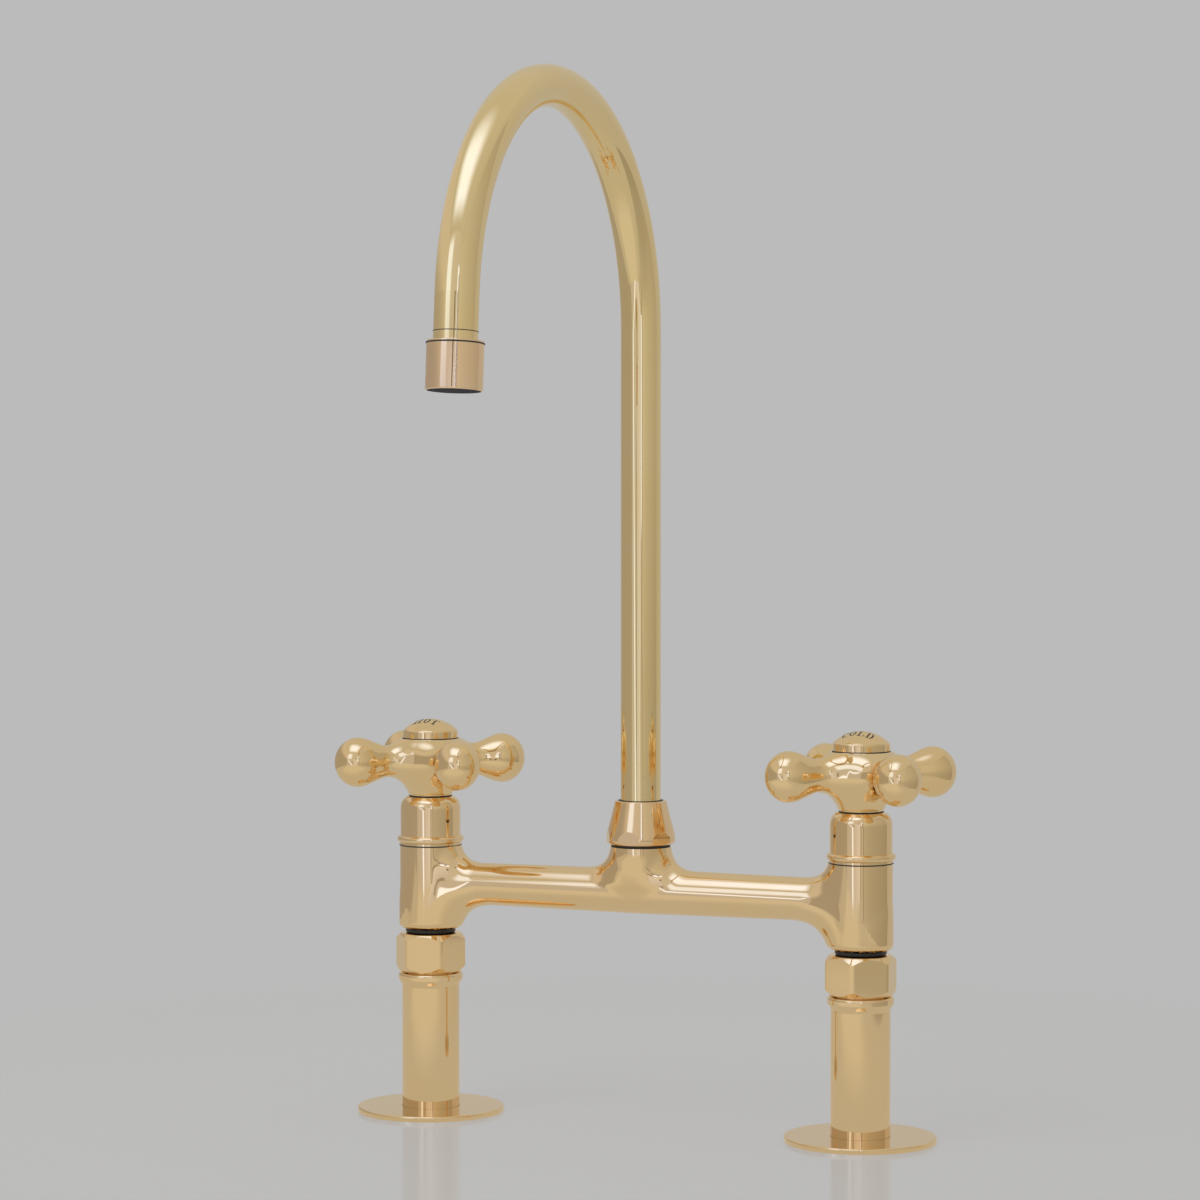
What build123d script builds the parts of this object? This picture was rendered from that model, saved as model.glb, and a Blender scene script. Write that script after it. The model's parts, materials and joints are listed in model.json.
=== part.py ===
"""Bridge kitchen faucet with cross handles and a swan-neck swivel spout.

Millimetres. +Z is up and the deck that the faucet stands on is z = 0. X runs along
the bridge, with the hot side at -X and the cold side at +X. The spout points along
-Y. The origin lies on the deck, midway between the two pillar legs.
"""

import os
from math import cos, pi, sin

from build123d import *

# ---------------------------------------------------------------- driving sizes
TAP_CENTRES = 200.0
SIDES = {"hot": -1, "cold": 1}

# clearances
THREAD_GAP = 0.05
RUNNING_GAP = 0.05
FACE_GAP = 0.05
SLIP_GAP = 0.15
SEAL_GAP = 0.02
SHADOW_GAP = 0.3

# how far a cutting shape runs past what it cuts, and how round a rubber ring's corners are
CUT_OVER = 1.0
SEAL_ROUND_SHARE = 0.45

# deck flange
FLANGE_D = 64.8
FLANGE_T = 2.3
FLANGE_EDGE_R = 0.8

# pillar leg
LEG_D = 25.4
LEG_H = 61.6
LEG_BORE_D = 14.0
LEG_LIP_D = 28.4
LEG_LIP_H = 3.0
LEG_LIP_LOW_R = 0.9
LEG_LIP_TOP_R = 1.2
LEG_NECK_H = 2.4
INLET_THREAD_D = 18.6
INLET_THREAD_L = 14.0
NIPPLE_D = 21.0
NIPPLE_L = 9.4

# union between leg and column
UNION_NUT_AF = 27.7
UNION_NUT_H = 17.3
UNION_NUT_CORNER_R = 2.4
UNION_NUT_END_D = 26.4
UNION_NUT_END_R = 1.2
UNION_NUT_BEVEL_H = 3.2
UNION_NUT_BEVEL_R = 2.5
UNION_NUT_ROOF = 3.0
UNION_NUT_TURN = {"hot": 11.0, "cold": 35.0}
TAIL_D = 16.6
TAIL_BORE_D = 11.0
TAIL_COLLAR_T = 3.2
TAIL_THREAD_L = 6.5
TAIL_WASHER_INSET = 0.5
LEG_SEAL_H = 2.3
LEG_SEAL_D = 22.0

# bridge body
COLUMN_D = 27.0
COLUMN_H = 36.5
COLUMN_FOOT_D = 23.2
COLUMN_FOOT_H = 2.8
BRIDGE_AXIS_UP = 20.1
BRIDGE_D_MIDDLE = 19.5
BRIDGE_D_END = 18.0
BRIDGE_BORE_D = 10.0
COLUMN_FILLET_R = 10.0
NECK_D = 26.2
NECK_H = 19.5
NECK_ROOT_UP = 10.5
NECK_FILLET_R = 10.0
VALVE_CHAMBER_D = 20.0
VALVE_SEAT_UP = 9.0
VALVE_THREAD_D = 21.0
VALVE_THREAD_L = 7.6
VALVE_RECESS_D = 23.6
VALVE_RECESS_H = 4.0
SOCKET_D = 16.0
SOCKET_THREAD_D = 23.0
SOCKET_THREAD_H = 7.2

# bonnet
BONNET_D = 26.5
BONNET_STEP_H = 1.2
BONNET_BEAD_D = 29.3
BONNET_BEAD_H = 3.1
BONNET_WALL_H = 16.3
BONNET_H = 21.6
BONNET_TOP_D = 18.0
BONNET_CAVITY_D = 20.4
BONNET_SKIRT_H = 1.9
BONNET_ROOF = 6.2

# valve cartridge
CARTRIDGE_SKIRT_D = 18.0
CARTRIDGE_CHAMBER_D = 16.8
CARTRIDGE_FLANGE_T = 2.0
CARTRIDGE_HEX_AF = 17.0
CARTRIDGE_HEX_H = 7.0
CARTRIDGE_NECK_D = 14.0
CARTRIDGE_TOP_DOWN = 2.1
WINDOW_H = 5.0
WINDOW_W = 9.0
GASKET_T = 2.0
DISC_T = 3.0
DISC_D = 16.5
DISC_TAB_W = 3.0
DISC_TAB_D = 17.7
PORT_IN_D = 5.0
PORT_OUT_D = 13.4
PORT_ANGLE = 80.0
CARRIER_T = 6.0
LUG_W = 2.0
LUG_L = 3.0
LUG_H = 1.0
LUG_R = 5.6
STEM_D = 8.0
STEM_SEAL_UP = 38.0
STEM_SEAL_W = 2.0
STEM_SEAL_DEPTH = 1.2
CLIP_T = 0.8
CLIP_D = 11.0
CLIP_DEPTH = 0.6
SPLINE_TEETH = 20
SPLINE_DEPTH = 0.25

# cross handle, heights above its underside
HANDLE_LIFT = 0.5
HUB_BOTTOM_D = 16.2
HUB_WIDEST_D = 33.4
HUB_WIDEST_UP = 15.0
HUB_H = 25.0
HUB_TOP_D = 25.0
HUB_WAIST_D = 24.4
HUB_WAIST_UP = 6.2
HUB_FOOT_LEAN = (0.77, 1.0)
HUB_CROWN_LEAN = (-1.0, 0.35)
ARM_COUNT = 4
ARM_TURN = 45.0
ARM_UP = 15.3
ARM_NECK_D = 13.7
ARM_NECK_R = 19.5
ARM_ROOT_R = 9.0
ARM_ROOT_D = 17.0
ARM_ROOT_LEAN = (1.0, -0.3)
ARM_REACH = 44.1
LOBE_D = 21.8
LOBE_R = 33.8
LOBE_WIDTH_SHARE = 0.9
ARM_FILLET_R = 5.0
CAP_RECESS_D = 14.2
CAP_RECESS_DEPTH = 7.6
WEB_T = 1.5

# index cap and handle screw
CAP_D = 24.3
CAP_RIM_H = 3.1
CAP_DOME_H = 5.2
CAP_EDGE_R = 1.0
CAP_PLUG_L = 5.0
CAP_PLUG_WALL = 1.5
SCREW_D = 4.0
SCREW_L = 9.0
SCREW_HEAD_D = 8.4
SCREW_HEAD_H = 2.4
SCREW_SLOT_W = 1.0
SCREW_SLOT_DEPTH = 1.0

# gland between bridge and spout
GLAND_RING_H = 1.0
GLAND_RING_D = 25.7
GLAND_NUT_H = 18.9
GLAND_NUT_D = 30.2
GLAND_NUT_AF = 28.6
GLAND_NUT_FOOT_R = 2.2
GLAND_NUT_BELT_H = 3.2
GLAND_NUT_BEND_R = 5.0
GLAND_NUT_TOP_D = 22.2
GLAND_NUT_TOP_R = 0.5
THRUST_T = 0.8
WIPER_T = 1.6
WIPER_D = 19.6
WIPER_PROUD = 0.25

# spout
SPOUT_D = 17.4
SPOUT_WALL = 1.25
SPOUT_ARC_UP = 343.8
SPOUT_ARC_R = 95.3
SPOUT_ARC_SWEEP = 175.4
SPOUT_DROP = 14.6
SPIGOT_L = 22.0
SPIGOT_BORE_D = 11.0
SPIGOT_COLLAR_D = 21.6
SPIGOT_COLLAR_T = 2.5
SPIGOT_STUB_L = 12.0
O_RING_W = 2.0
O_RING_DEPTH = 1.4
O_RING_UP = (6.0, 13.0)

# aerator, measured along the spout's outlet
COLLAR_H = 3.6
COLLAR_GROOVE = 0.2
COLLAR_STUB_L = 8.0
AERATOR_D = 22.3
AERATOR_H = 19.2
AERATOR_TOP_EDGE_R = 0.4
AERATOR_LOW_EDGE_R = 0.6
AERATOR_BORE_D = 19.9
AERATOR_THREAD_TOP = 0.8
AERATOR_THREAD_L = 6.8
AERATOR_MOUTH_D = 21.0
AERATOR_MOUTH_H = 0.8
AERATOR_COLLAR_BORE_D = 13.0
AERATOR_WASHER_T = 1.5
SCREEN_T = 0.6
INSERT_HOLE_D = 2.4
INSERT_RING_R = (0.0, 3.6, 7.1)
INSERT_RING_COUNT = (1, 6, 12)

# ------------------------------------------------- levels above the deck, and radii
NUT_Z = LEG_H + SHADOW_GAP
NUT_TOP_Z = NUT_Z + UNION_NUT_H
NUT_ROOF_Z = NUT_TOP_Z - UNION_NUT_ROOF
NIPPLE_TOP_Z = LEG_H + NIPPLE_L
COLUMN_Z = NUT_TOP_Z + LEG_SEAL_H
COLUMN_TOP_Z = COLUMN_Z + COLUMN_H
BRIDGE_Z = COLUMN_Z + BRIDGE_AXIS_UP
SEAT_Z = COLUMN_Z + VALVE_SEAT_UP
RECESS_Z = COLUMN_TOP_Z - VALVE_RECESS_H
FIXED_DISC_Z = SEAT_Z + GASKET_T
MOVING_DISC_Z = FIXED_DISC_Z + DISC_T + FACE_GAP
CARRIER_Z = MOVING_DISC_Z + DISC_T
BONNET_TOP_Z = COLUMN_TOP_Z + BONNET_H
CARTRIDGE_TOP_Z = BONNET_TOP_Z - CARTRIDGE_TOP_DOWN
HANDLE_Z = BONNET_TOP_Z + HANDLE_LIFT
HANDLE_TOP_Z = HANDLE_Z + HUB_H
WEB_Z = HANDLE_TOP_Z - CAP_RECESS_DEPTH
SPINDLE_TOP_Z = WEB_Z - WEB_T
STEM_SEAL_Z = COLUMN_Z + STEM_SEAL_UP
CAP_Z = HANDLE_TOP_Z + SHADOW_GAP
NECK_TOP_Z = BRIDGE_Z + NECK_H
SOCKET_TOP_Z = NECK_TOP_Z + SOCKET_THREAD_H
SPIGOT_COLLAR_Z = SOCKET_TOP_Z + THRUST_T + FACE_GAP
SPOUT_Z = SPIGOT_COLLAR_Z + SPIGOT_COLLAR_T
GLAND_NUT_Z = NECK_TOP_Z + GLAND_RING_H
GLAND_NUT_TOP_Z = GLAND_NUT_Z + GLAND_NUT_H
GLAND_ROOF_Z = SPOUT_Z + FACE_GAP + THRUST_T
WIPER_Z = GLAND_NUT_TOP_Z + WIPER_PROUD - WIPER_T
SPOUT_BORE_D = SPOUT_D - 2 * SPOUT_WALL


# ---------------------------------------------------------------- shared shapes
def turned(*outline):
    """Solid turned about Z from an outline of (radius, height[, corner rounding])."""
    points = [point[:2] for point in outline]
    rounding = [point[2] if len(point) > 2 else 0.0 for point in outline]
    face = make_face(FilletPolyline(*points, radius=rounding, close=True))
    return revolve(Plane.XZ * face, axis=Axis.Z)


def turned_curve(*edges):
    """Solid turned about Z from a closed outline of curves drawn as (radius, height)."""
    face = make_face(Curve() + list(edges))
    return revolve(Plane.XZ * face, axis=Axis.Z)


def quarter(centre, across, up, start):
    """Quarter of an ellipse, from a start angle in degrees."""
    return EllipticalCenterArc(centre, across, up, start, arc_size=90)


def tube(inner_d, outer_d, low, high):
    """Straight ring about Z between two heights."""
    return turned((inner_d / 2, low), (outer_d / 2, low), (outer_d / 2, high), (inner_d / 2, high))


def rod(diameter, low, high):
    """Straight cylinder about Z between two heights."""
    return Pos(0, 0, low) * Cylinder(diameter / 2, high - low, align=(Align.CENTER, Align.CENTER, Align.MIN))


def hexagon(across_flats, low, high, corner_r=0.0):
    """Hexagonal bar about Z with a corner pointing along +X."""
    outline = RegularPolygon(across_flats / 2, 6, major_radius=False)
    if corner_r:
        outline = fillet(outline.vertices(), corner_r)
    return Pos(0, 0, low) * extrude(outline, amount=high - low)


def seal_ring(inner_d, outer_d, low, high):
    """Rubber ring with fully rounded outer corners."""
    rounding = SEAL_ROUND_SHARE * min(high - low, (outer_d - inner_d) / 2)
    return turned(
        (inner_d / 2, low, rounding),
        (outer_d / 2, low, rounding),
        (outer_d / 2, high, rounding),
        (inner_d / 2, high, rounding),
    )


def blended(body, addition, radius):
    """Two solids joined, with a round fillet where their surfaces cross."""
    joined = body + addition
    return fillet(new_edges(body, addition, combined=joined), radius)


# ---------------------------------------------------------------- leg and union
def deck_flange():
    bore_r = LEG_D / 2 + SLIP_GAP
    rim_r = FLANGE_D / 2
    return turned(
        (bore_r, 0),
        (rim_r, 0),
        (rim_r, FLANGE_T, FLANGE_EDGE_R),
        (bore_r, FLANGE_T),
    )


def pillar_leg():
    """Leg with a hollow under its lip, and the threaded nipple above it."""
    leg_r = LEG_D / 2
    lip_r = LEG_LIP_D / 2
    lip_z = LEG_H - LEG_LIP_H
    body = turned(
        (0, 0),
        (leg_r, 0),
        (leg_r, lip_z - LEG_NECK_H, LEG_NECK_H),
        (lip_r, lip_z, LEG_LIP_LOW_R),
        (lip_r, LEG_H, LEG_LIP_TOP_R),
        (NIPPLE_D / 2, LEG_H),
        (NIPPLE_D / 2, NIPPLE_TOP_Z),
        (0, NIPPLE_TOP_Z),
    )
    return body - rod(LEG_BORE_D, 0, NIPPLE_TOP_Z) - rod(INLET_THREAD_D, 0, INLET_THREAD_L)


def union_nut(side):
    """Hexagon nut whose corners are turned off round at both ends."""
    end_r = UNION_NUT_END_D / 2
    corner_r = UNION_NUT_AF / 2 / cos(pi / 6)
    envelope = turned(
        (0, NUT_Z),
        (end_r, NUT_Z, UNION_NUT_END_R),
        (corner_r, NUT_Z + UNION_NUT_BEVEL_H, UNION_NUT_BEVEL_R),
        (corner_r, NUT_TOP_Z - UNION_NUT_BEVEL_H, UNION_NUT_BEVEL_R),
        (end_r, NUT_TOP_Z, UNION_NUT_END_R),
        (0, NUT_TOP_Z),
    )
    bar = Rot(0, 0, UNION_NUT_TURN[side]) * hexagon(UNION_NUT_AF, NUT_Z, NUT_TOP_Z, UNION_NUT_CORNER_R)
    thread = rod(NIPPLE_D + 2 * THREAD_GAP, NUT_Z, NUT_ROOF_Z)
    return (envelope & bar) - thread - rod(TAIL_D + 2 * SLIP_GAP, NUT_Z, NUT_TOP_Z)


def union_tail():
    """Collared stub: the nut pulls its collar down, and its thread fills the column's foot."""
    collar_d = NIPPLE_D - 2 * SLIP_GAP
    body = turned(
        (TAIL_BORE_D / 2, NUT_ROOF_Z - TAIL_COLLAR_T),
        (collar_d / 2, NUT_ROOF_Z - TAIL_COLLAR_T),
        (collar_d / 2, NUT_ROOF_Z),
        (TAIL_D / 2, NUT_ROOF_Z),
        (TAIL_D / 2, COLUMN_Z + TAIL_THREAD_L),
        (TAIL_BORE_D / 2, COLUMN_Z + TAIL_THREAD_L),
    )
    return body


def tail_washer():
    """Fibre washer that fills the space between the nipple and the tail's collar."""
    inner_d = TAIL_BORE_D + 2 * TAIL_WASHER_INSET
    outer_d = NIPPLE_D - 2 * TAIL_WASHER_INSET
    return tube(inner_d, outer_d, NIPPLE_TOP_Z, NUT_ROOF_Z - TAIL_COLLAR_T)


def leg_seal():
    return seal_ring(TAIL_D + 2 * SLIP_GAP, LEG_SEAL_D, NUT_TOP_Z, COLUMN_Z)


# ---------------------------------------------------------------- bridge body
def cross_tube():
    """Barrel along X, a little fuller in the middle than at the columns."""
    half = TAP_CENTRES / 2
    outline = [
        ThreePointArc((-half, BRIDGE_D_END / 2), (0, BRIDGE_D_MIDDLE / 2), (half, BRIDGE_D_END / 2)),
        Polyline((half, BRIDGE_D_END / 2), (half, 0), (-half, 0), (-half, BRIDGE_D_END / 2)),
    ]
    barrel = revolve(make_face(Curve() + outline), axis=Axis.X)
    return Pos(0, 0, BRIDGE_Z) * barrel


def bridge_neck():
    """Upright neck with a round root that sinks into the cross tube."""
    neck_r = NECK_D / 2
    root_z = BRIDGE_Z + NECK_ROOT_UP
    top_z = NECK_TOP_Z + NECK_FILLET_R
    return turned_curve(
        CenterArc((0, root_z), neck_r, 270, 90),
        Line((neck_r, root_z), (neck_r, top_z)),
        Line((neck_r, top_z), (0, top_z)),
        Line((0, top_z), (0, root_z - neck_r)),
    )


def column_foot():
    """Ring that is cut away to round off the foot of a column."""
    foot_r = COLUMN_FOOT_D / 2
    side_r = COLUMN_D / 2
    bend_z = COLUMN_Z + COLUMN_FOOT_H
    outside = side_r + COLUMN_FILLET_R
    return turned_curve(
        quarter((foot_r, bend_z), side_r - foot_r, COLUMN_FOOT_H, 270),
        Line((side_r, bend_z), (outside, bend_z)),
        Line((outside, bend_z), (outside, COLUMN_Z)),
        Line((outside, COLUMN_Z), (foot_r, COLUMN_Z)),
    )


def bridge_shell():
    """Outer form: columns, cross tube and neck run together by round fillets."""
    half = TAP_CENTRES / 2
    spare = COLUMN_FILLET_R
    shell = blended(cross_tube(), bridge_neck(), NECK_FILLET_R)
    for sign in SIDES.values():
        column = Pos(sign * half, 0, 0) * rod(COLUMN_D, COLUMN_Z - spare, COLUMN_TOP_Z + spare)
        shell = blended(shell, column, COLUMN_FILLET_R)
    for sign in SIDES.values():
        at_column = Pos(sign * half, 0, 0)
        shell -= at_column * Pos(0, 0, COLUMN_TOP_Z) * Box(
            COLUMN_D + 2 * spare, COLUMN_D + 2 * spare, spare, align=(Align.CENTER, Align.CENTER, Align.MIN)
        )
        shell -= at_column * Pos(0, 0, COLUMN_Z) * Box(
            COLUMN_D + 2 * spare, COLUMN_D + 2 * spare, spare, align=(Align.CENTER, Align.CENTER, Align.MAX)
        )
        shell -= at_column * column_foot()
    return shell - rod(NECK_D + 2 * spare, NECK_TOP_Z, NECK_TOP_Z + spare)


def column_waterway():
    """Hollow of one column: tail socket, valve seat, chamber, thread and bonnet recess."""
    thread_z = RECESS_Z - VALVE_THREAD_L
    return (
        rod(TAIL_D + 2 * THREAD_GAP, COLUMN_Z, COLUMN_Z + TAIL_THREAD_L)
        + rod(TAIL_BORE_D, COLUMN_Z, SEAT_Z)
        + rod(VALVE_CHAMBER_D, SEAT_Z, thread_z)
        + rod(VALVE_THREAD_D, thread_z, RECESS_Z)
        + rod(VALVE_RECESS_D, RECESS_Z, COLUMN_TOP_Z)
    )


def bridge_body():
    """One casting: shell, threaded spout socket, and the hollow waterways."""
    body = bridge_shell() + rod(SOCKET_THREAD_D, NECK_TOP_Z, SOCKET_TOP_Z)
    for sign in SIDES.values():
        body -= Pos(sign * TAP_CENTRES / 2, 0, 0) * column_waterway()
    cross_bore = Pos(0, 0, BRIDGE_Z) * Rot(0, 90, 0) * Cylinder(BRIDGE_BORE_D / 2, TAP_CENTRES)
    return body - cross_bore - rod(SOCKET_D, BRIDGE_Z, SOCKET_TOP_Z)


# ---------------------------------------------------------------- bonnet and valve
def bonnet():
    """Turned cover with a bead above its foot and a round shoulder."""
    side_r = BONNET_D / 2
    step_r = COLUMN_D / 2
    top_r = BONNET_TOP_D / 2
    bead_z = COLUMN_TOP_Z + BONNET_STEP_H
    bead_top = bead_z + BONNET_BEAD_H
    wall_z = COLUMN_TOP_Z + BONNET_WALL_H
    body = turned_curve(
        Line((0, COLUMN_TOP_Z), (step_r, COLUMN_TOP_Z)),
        Line((step_r, COLUMN_TOP_Z), (step_r, bead_z)),
        ThreePointArc((step_r, bead_z), (BONNET_BEAD_D / 2, (bead_z + bead_top) / 2), (side_r, bead_top)),
        Line((side_r, bead_top), (side_r, wall_z)),
        quarter((top_r, wall_z), side_r - top_r, BONNET_TOP_Z - wall_z, 0),
        Line((top_r, BONNET_TOP_Z), (0, BONNET_TOP_Z)),
        Line((0, BONNET_TOP_Z), (0, COLUMN_TOP_Z)),
    )
    skirt_z = COLUMN_TOP_Z - BONNET_SKIRT_H
    body += rod(VALVE_RECESS_D - 2 * THREAD_GAP, skirt_z, COLUMN_TOP_Z)
    cavity = rod(BONNET_CAVITY_D, skirt_z, BONNET_TOP_Z - BONNET_ROOF)
    return body - cavity - rod(CARTRIDGE_NECK_D + 2 * THREAD_GAP, skirt_z, BONNET_TOP_Z)


def port_pair(inner_d, outer_d, low, high):
    """Two sector-shaped ports that face each other along X."""
    outline = Plane.XZ * make_face(
        Polyline(
            (inner_d / 2, low),
            (outer_d / 2, low),
            (outer_d / 2, high),
            (inner_d / 2, high),
            close=True,
        )
    )
    sector = Rot(0, 0, -PORT_ANGLE / 2) * revolve(outline, axis=Axis.Z, revolution_arc=PORT_ANGLE)
    return sector + Rot(0, 0, 180) * sector


def cartridge_gasket():
    return seal_ring(TAIL_BORE_D + 2 * SLIP_GAP, CARTRIDGE_SKIRT_D, SEAT_Z, FIXED_DISC_Z)


def fixed_disc():
    """Lower ceramic disc, kept from turning by two tabs in the cartridge's skirt."""
    disc = rod(DISC_D, FIXED_DISC_Z, FIXED_DISC_Z + DISC_T)
    disc += Pos(0, 0, FIXED_DISC_Z + DISC_T / 2) * Box(DISC_TAB_W, DISC_TAB_D, DISC_T)
    return disc - port_pair(PORT_IN_D, PORT_OUT_D, FIXED_DISC_Z, FIXED_DISC_Z + DISC_T)


def drive_lugs(extra):
    """Two blocks under the carrier that drive the moving disc, grown by a clearance."""
    lug = Box(LUG_L + 2 * extra, LUG_W + 2 * extra, LUG_H + 2 * extra)
    level = CARRIER_Z - LUG_H / 2
    return [Pos(sign * LUG_R, 0, level) * lug for sign in (-1, 1)]


def moving_disc():
    """Upper ceramic disc. Its ports stand across the fixed ones while the tap is shut."""
    disc = rod(DISC_D, MOVING_DISC_Z, CARRIER_Z)
    disc -= Rot(0, 0, 90) * port_pair(PORT_IN_D, PORT_OUT_D, MOVING_DISC_Z, CARRIER_Z)
    return disc - drive_lugs(THREAD_GAP)


def cartridge_body():
    """Brass valve body with a slotted skirt, side windows, thread, hexagon and neck."""
    thread_z = RECESS_Z - VALVE_THREAD_L
    flange_top = RECESS_Z + CARTRIDGE_FLANGE_T
    hex_top = flange_top + CARTRIDGE_HEX_H
    chamber_top = CARRIER_Z + CARRIER_T + FACE_GAP
    body = rod(CARTRIDGE_SKIRT_D, FIXED_DISC_Z, thread_z)
    body += rod(VALVE_THREAD_D - 2 * THREAD_GAP, thread_z, RECESS_Z)
    body += rod(VALVE_RECESS_D - 2 * SLIP_GAP, RECESS_Z, flange_top)
    body += hexagon(CARTRIDGE_HEX_AF, flange_top, hex_top)
    body += rod(CARTRIDGE_NECK_D, hex_top, CARTRIDGE_TOP_Z)
    body -= rod(CARTRIDGE_CHAMBER_D, FIXED_DISC_Z, chamber_top)
    body -= rod(STEM_D + 2 * RUNNING_GAP, chamber_top, CARTRIDGE_TOP_Z)
    tab_slot = Box(DISC_TAB_W + 2 * THREAD_GAP, CARTRIDGE_SKIRT_D, DISC_T)
    window = Box(CARTRIDGE_SKIRT_D, WINDOW_W, WINDOW_H)
    body -= Pos(0, 0, FIXED_DISC_Z + DISC_T / 2) * tab_slot
    return body - Pos(0, 0, CARRIER_Z + CARRIER_T / 2) * window


def splined_bar(outer_d, low, high):
    """Toothed bar that carries the handle."""
    tip_r = outer_d / 2
    root_r = tip_r - SPLINE_DEPTH
    step = pi / SPLINE_TEETH
    outline = [
        (radius * cos(step * count), radius * sin(step * count))
        for count, radius in enumerate([tip_r, root_r] * SPLINE_TEETH)
    ]
    return Pos(0, 0, low) * extrude(make_face(Polyline(*outline, close=True)), amount=high - low)


def valve_spindle():
    """Stem with its slotted carrier, seal groove, clip groove and toothed top."""
    carrier = rod(DISC_D, CARRIER_Z, CARRIER_Z + CARRIER_T)
    carrier -= Rot(0, 0, 90) * port_pair(PORT_IN_D, DISC_D + CUT_OVER, CARRIER_Z, CARRIER_Z + CARRIER_T)
    stem = carrier + rod(STEM_D, CARRIER_Z + CARRIER_T / 2, HANDLE_Z)
    stem += splined_bar(STEM_D, HANDLE_Z, SPINDLE_TOP_Z)
    stem += drive_lugs(0)
    stem -= tube(STEM_D - 2 * STEM_SEAL_DEPTH, STEM_D + CUT_OVER, STEM_SEAL_Z, STEM_SEAL_Z + STEM_SEAL_W)
    clip_z = CARTRIDGE_TOP_Z + FACE_GAP
    stem -= tube(STEM_D - 2 * CLIP_DEPTH, STEM_D + CUT_OVER, clip_z, clip_z + CLIP_T)
    return stem - rod(SCREW_D + 2 * THREAD_GAP, WEB_Z - SCREW_L - CUT_OVER, SPINDLE_TOP_Z)


def spindle_seal():
    outer_d = STEM_D + 2 * RUNNING_GAP - 2 * SEAL_GAP
    return seal_ring(STEM_D - 2 * STEM_SEAL_DEPTH, outer_d, STEM_SEAL_Z, STEM_SEAL_Z + STEM_SEAL_W)


def spindle_clip():
    """Open spring ring above the cartridge's neck."""
    clip_z = CARTRIDGE_TOP_Z + FACE_GAP
    ring = tube(STEM_D - 2 * CLIP_DEPTH, CLIP_D, clip_z, clip_z + CLIP_T)
    mouth = Pos(0, CLIP_D / 2, clip_z + CLIP_T / 2) * Box(STEM_D / 2, CLIP_D, CLIP_T)
    return ring - mouth


# ---------------------------------------------------------------- cross handle
def handle_hub():
    """Bell-shaped middle of the handle."""
    bottom_r = HUB_BOTTOM_D / 2
    top_r = HUB_TOP_D / 2
    bell = Spline(
        (bottom_r, 0),
        (HUB_WAIST_D / 2, HUB_WAIST_UP),
        (HUB_WIDEST_D / 2, HUB_WIDEST_UP),
        (top_r, HUB_H),
        tangents=[HUB_FOOT_LEAN, HUB_CROWN_LEAN],
    )
    return turned_curve(
        Line((0, 0), (bottom_r, 0)),
        bell,
        Line((top_r, HUB_H), (0, HUB_H)),
        Line((0, HUB_H), (0, 0)),
    )


def handle_arm():
    """One arm along +X: a flared root, a waist and an egg-shaped end."""
    waist = Spline(
        (ARM_ROOT_R, ARM_ROOT_D / 2),
        (ARM_NECK_R, ARM_NECK_D / 2),
        (LOBE_R, LOBE_D / 2),
        tangents=[ARM_ROOT_LEAN, (1, 0)],
    )
    outline = [
        Line((ARM_ROOT_R, 0), (ARM_ROOT_R, ARM_ROOT_D / 2)),
        waist,
        quarter((LOBE_R, 0), ARM_REACH - LOBE_R, LOBE_D / 2, 0),
        Line((ARM_REACH, 0), (ARM_ROOT_R, 0)),
    ]
    arm = revolve(make_face(Curve() + outline), axis=Axis.X)
    return scale(arm, by=(1, LOBE_WIDTH_SHARE, 1))


def cross_handle():
    """Hub and four arms, hollowed for the cap's plug, the screw and the toothed stem."""
    body = handle_hub()
    for count in range(ARM_COUNT):
        arm = Pos(0, 0, ARM_UP) * Rot(0, 0, ARM_TURN + count * 360 / ARM_COUNT) * handle_arm()
        body = blended(body, arm, ARM_FILLET_R)
    body = Pos(0, 0, HANDLE_Z) * body
    body -= rod(CAP_RECESS_D, WEB_Z, HANDLE_TOP_Z)
    body -= rod(SCREW_D + 2 * SLIP_GAP, HANDLE_Z, WEB_Z)
    return body - splined_bar(STEM_D + 2 * THREAD_GAP, HANDLE_Z, SPINDLE_TOP_Z)


def handle_screw():
    """Slotted screw that holds the handle down on the stem."""
    screw = rod(SCREW_HEAD_D, WEB_Z, WEB_Z + SCREW_HEAD_H) + rod(SCREW_D, WEB_Z - SCREW_L, WEB_Z)
    slot = Box(SCREW_HEAD_D, SCREW_SLOT_W, SCREW_SLOT_DEPTH)
    return screw - Pos(0, 0, WEB_Z + SCREW_HEAD_H - SCREW_SLOT_DEPTH / 2) * slot


def index_cap():
    """Domed cap with an upright rim and a hollow plug that pushes into the hub."""
    rim_r = CAP_D / 2
    rim_z = CAP_Z + CAP_RIM_H
    dome_r = (rim_r**2 + CAP_DOME_H**2) / (2 * CAP_DOME_H)
    dome_z = rim_z + CAP_DOME_H - dome_r
    half_way = rim_r / 2
    profile = [
        Line((0, CAP_Z), (rim_r, CAP_Z)),
        Line((rim_r, CAP_Z), (rim_r, rim_z)),
        ThreePointArc(
            (rim_r, rim_z), (half_way, dome_z + (dome_r**2 - half_way**2) ** 0.5), (0, dome_z + dome_r)
        ),
        Line((0, dome_z + dome_r), (0, CAP_Z)),
    ]
    outline = make_face(Curve() + profile)
    shoulder = outline.vertices().sort_by_distance((rim_r, rim_z))[0]
    cap = revolve(Plane.XZ * fillet(shoulder, CAP_EDGE_R), axis=Axis.Z)
    plug_d = CAP_RECESS_D - 2 * THREAD_GAP
    return cap + tube(plug_d - 2 * CAP_PLUG_WALL, plug_d, CAP_Z - CAP_PLUG_L, CAP_Z)


# ---------------------------------------------------------------- gland
def gland_ring():
    return seal_ring(SOCKET_THREAD_D + 2 * THREAD_GAP, GLAND_RING_D, NECK_TOP_Z, GLAND_NUT_Z)


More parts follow.
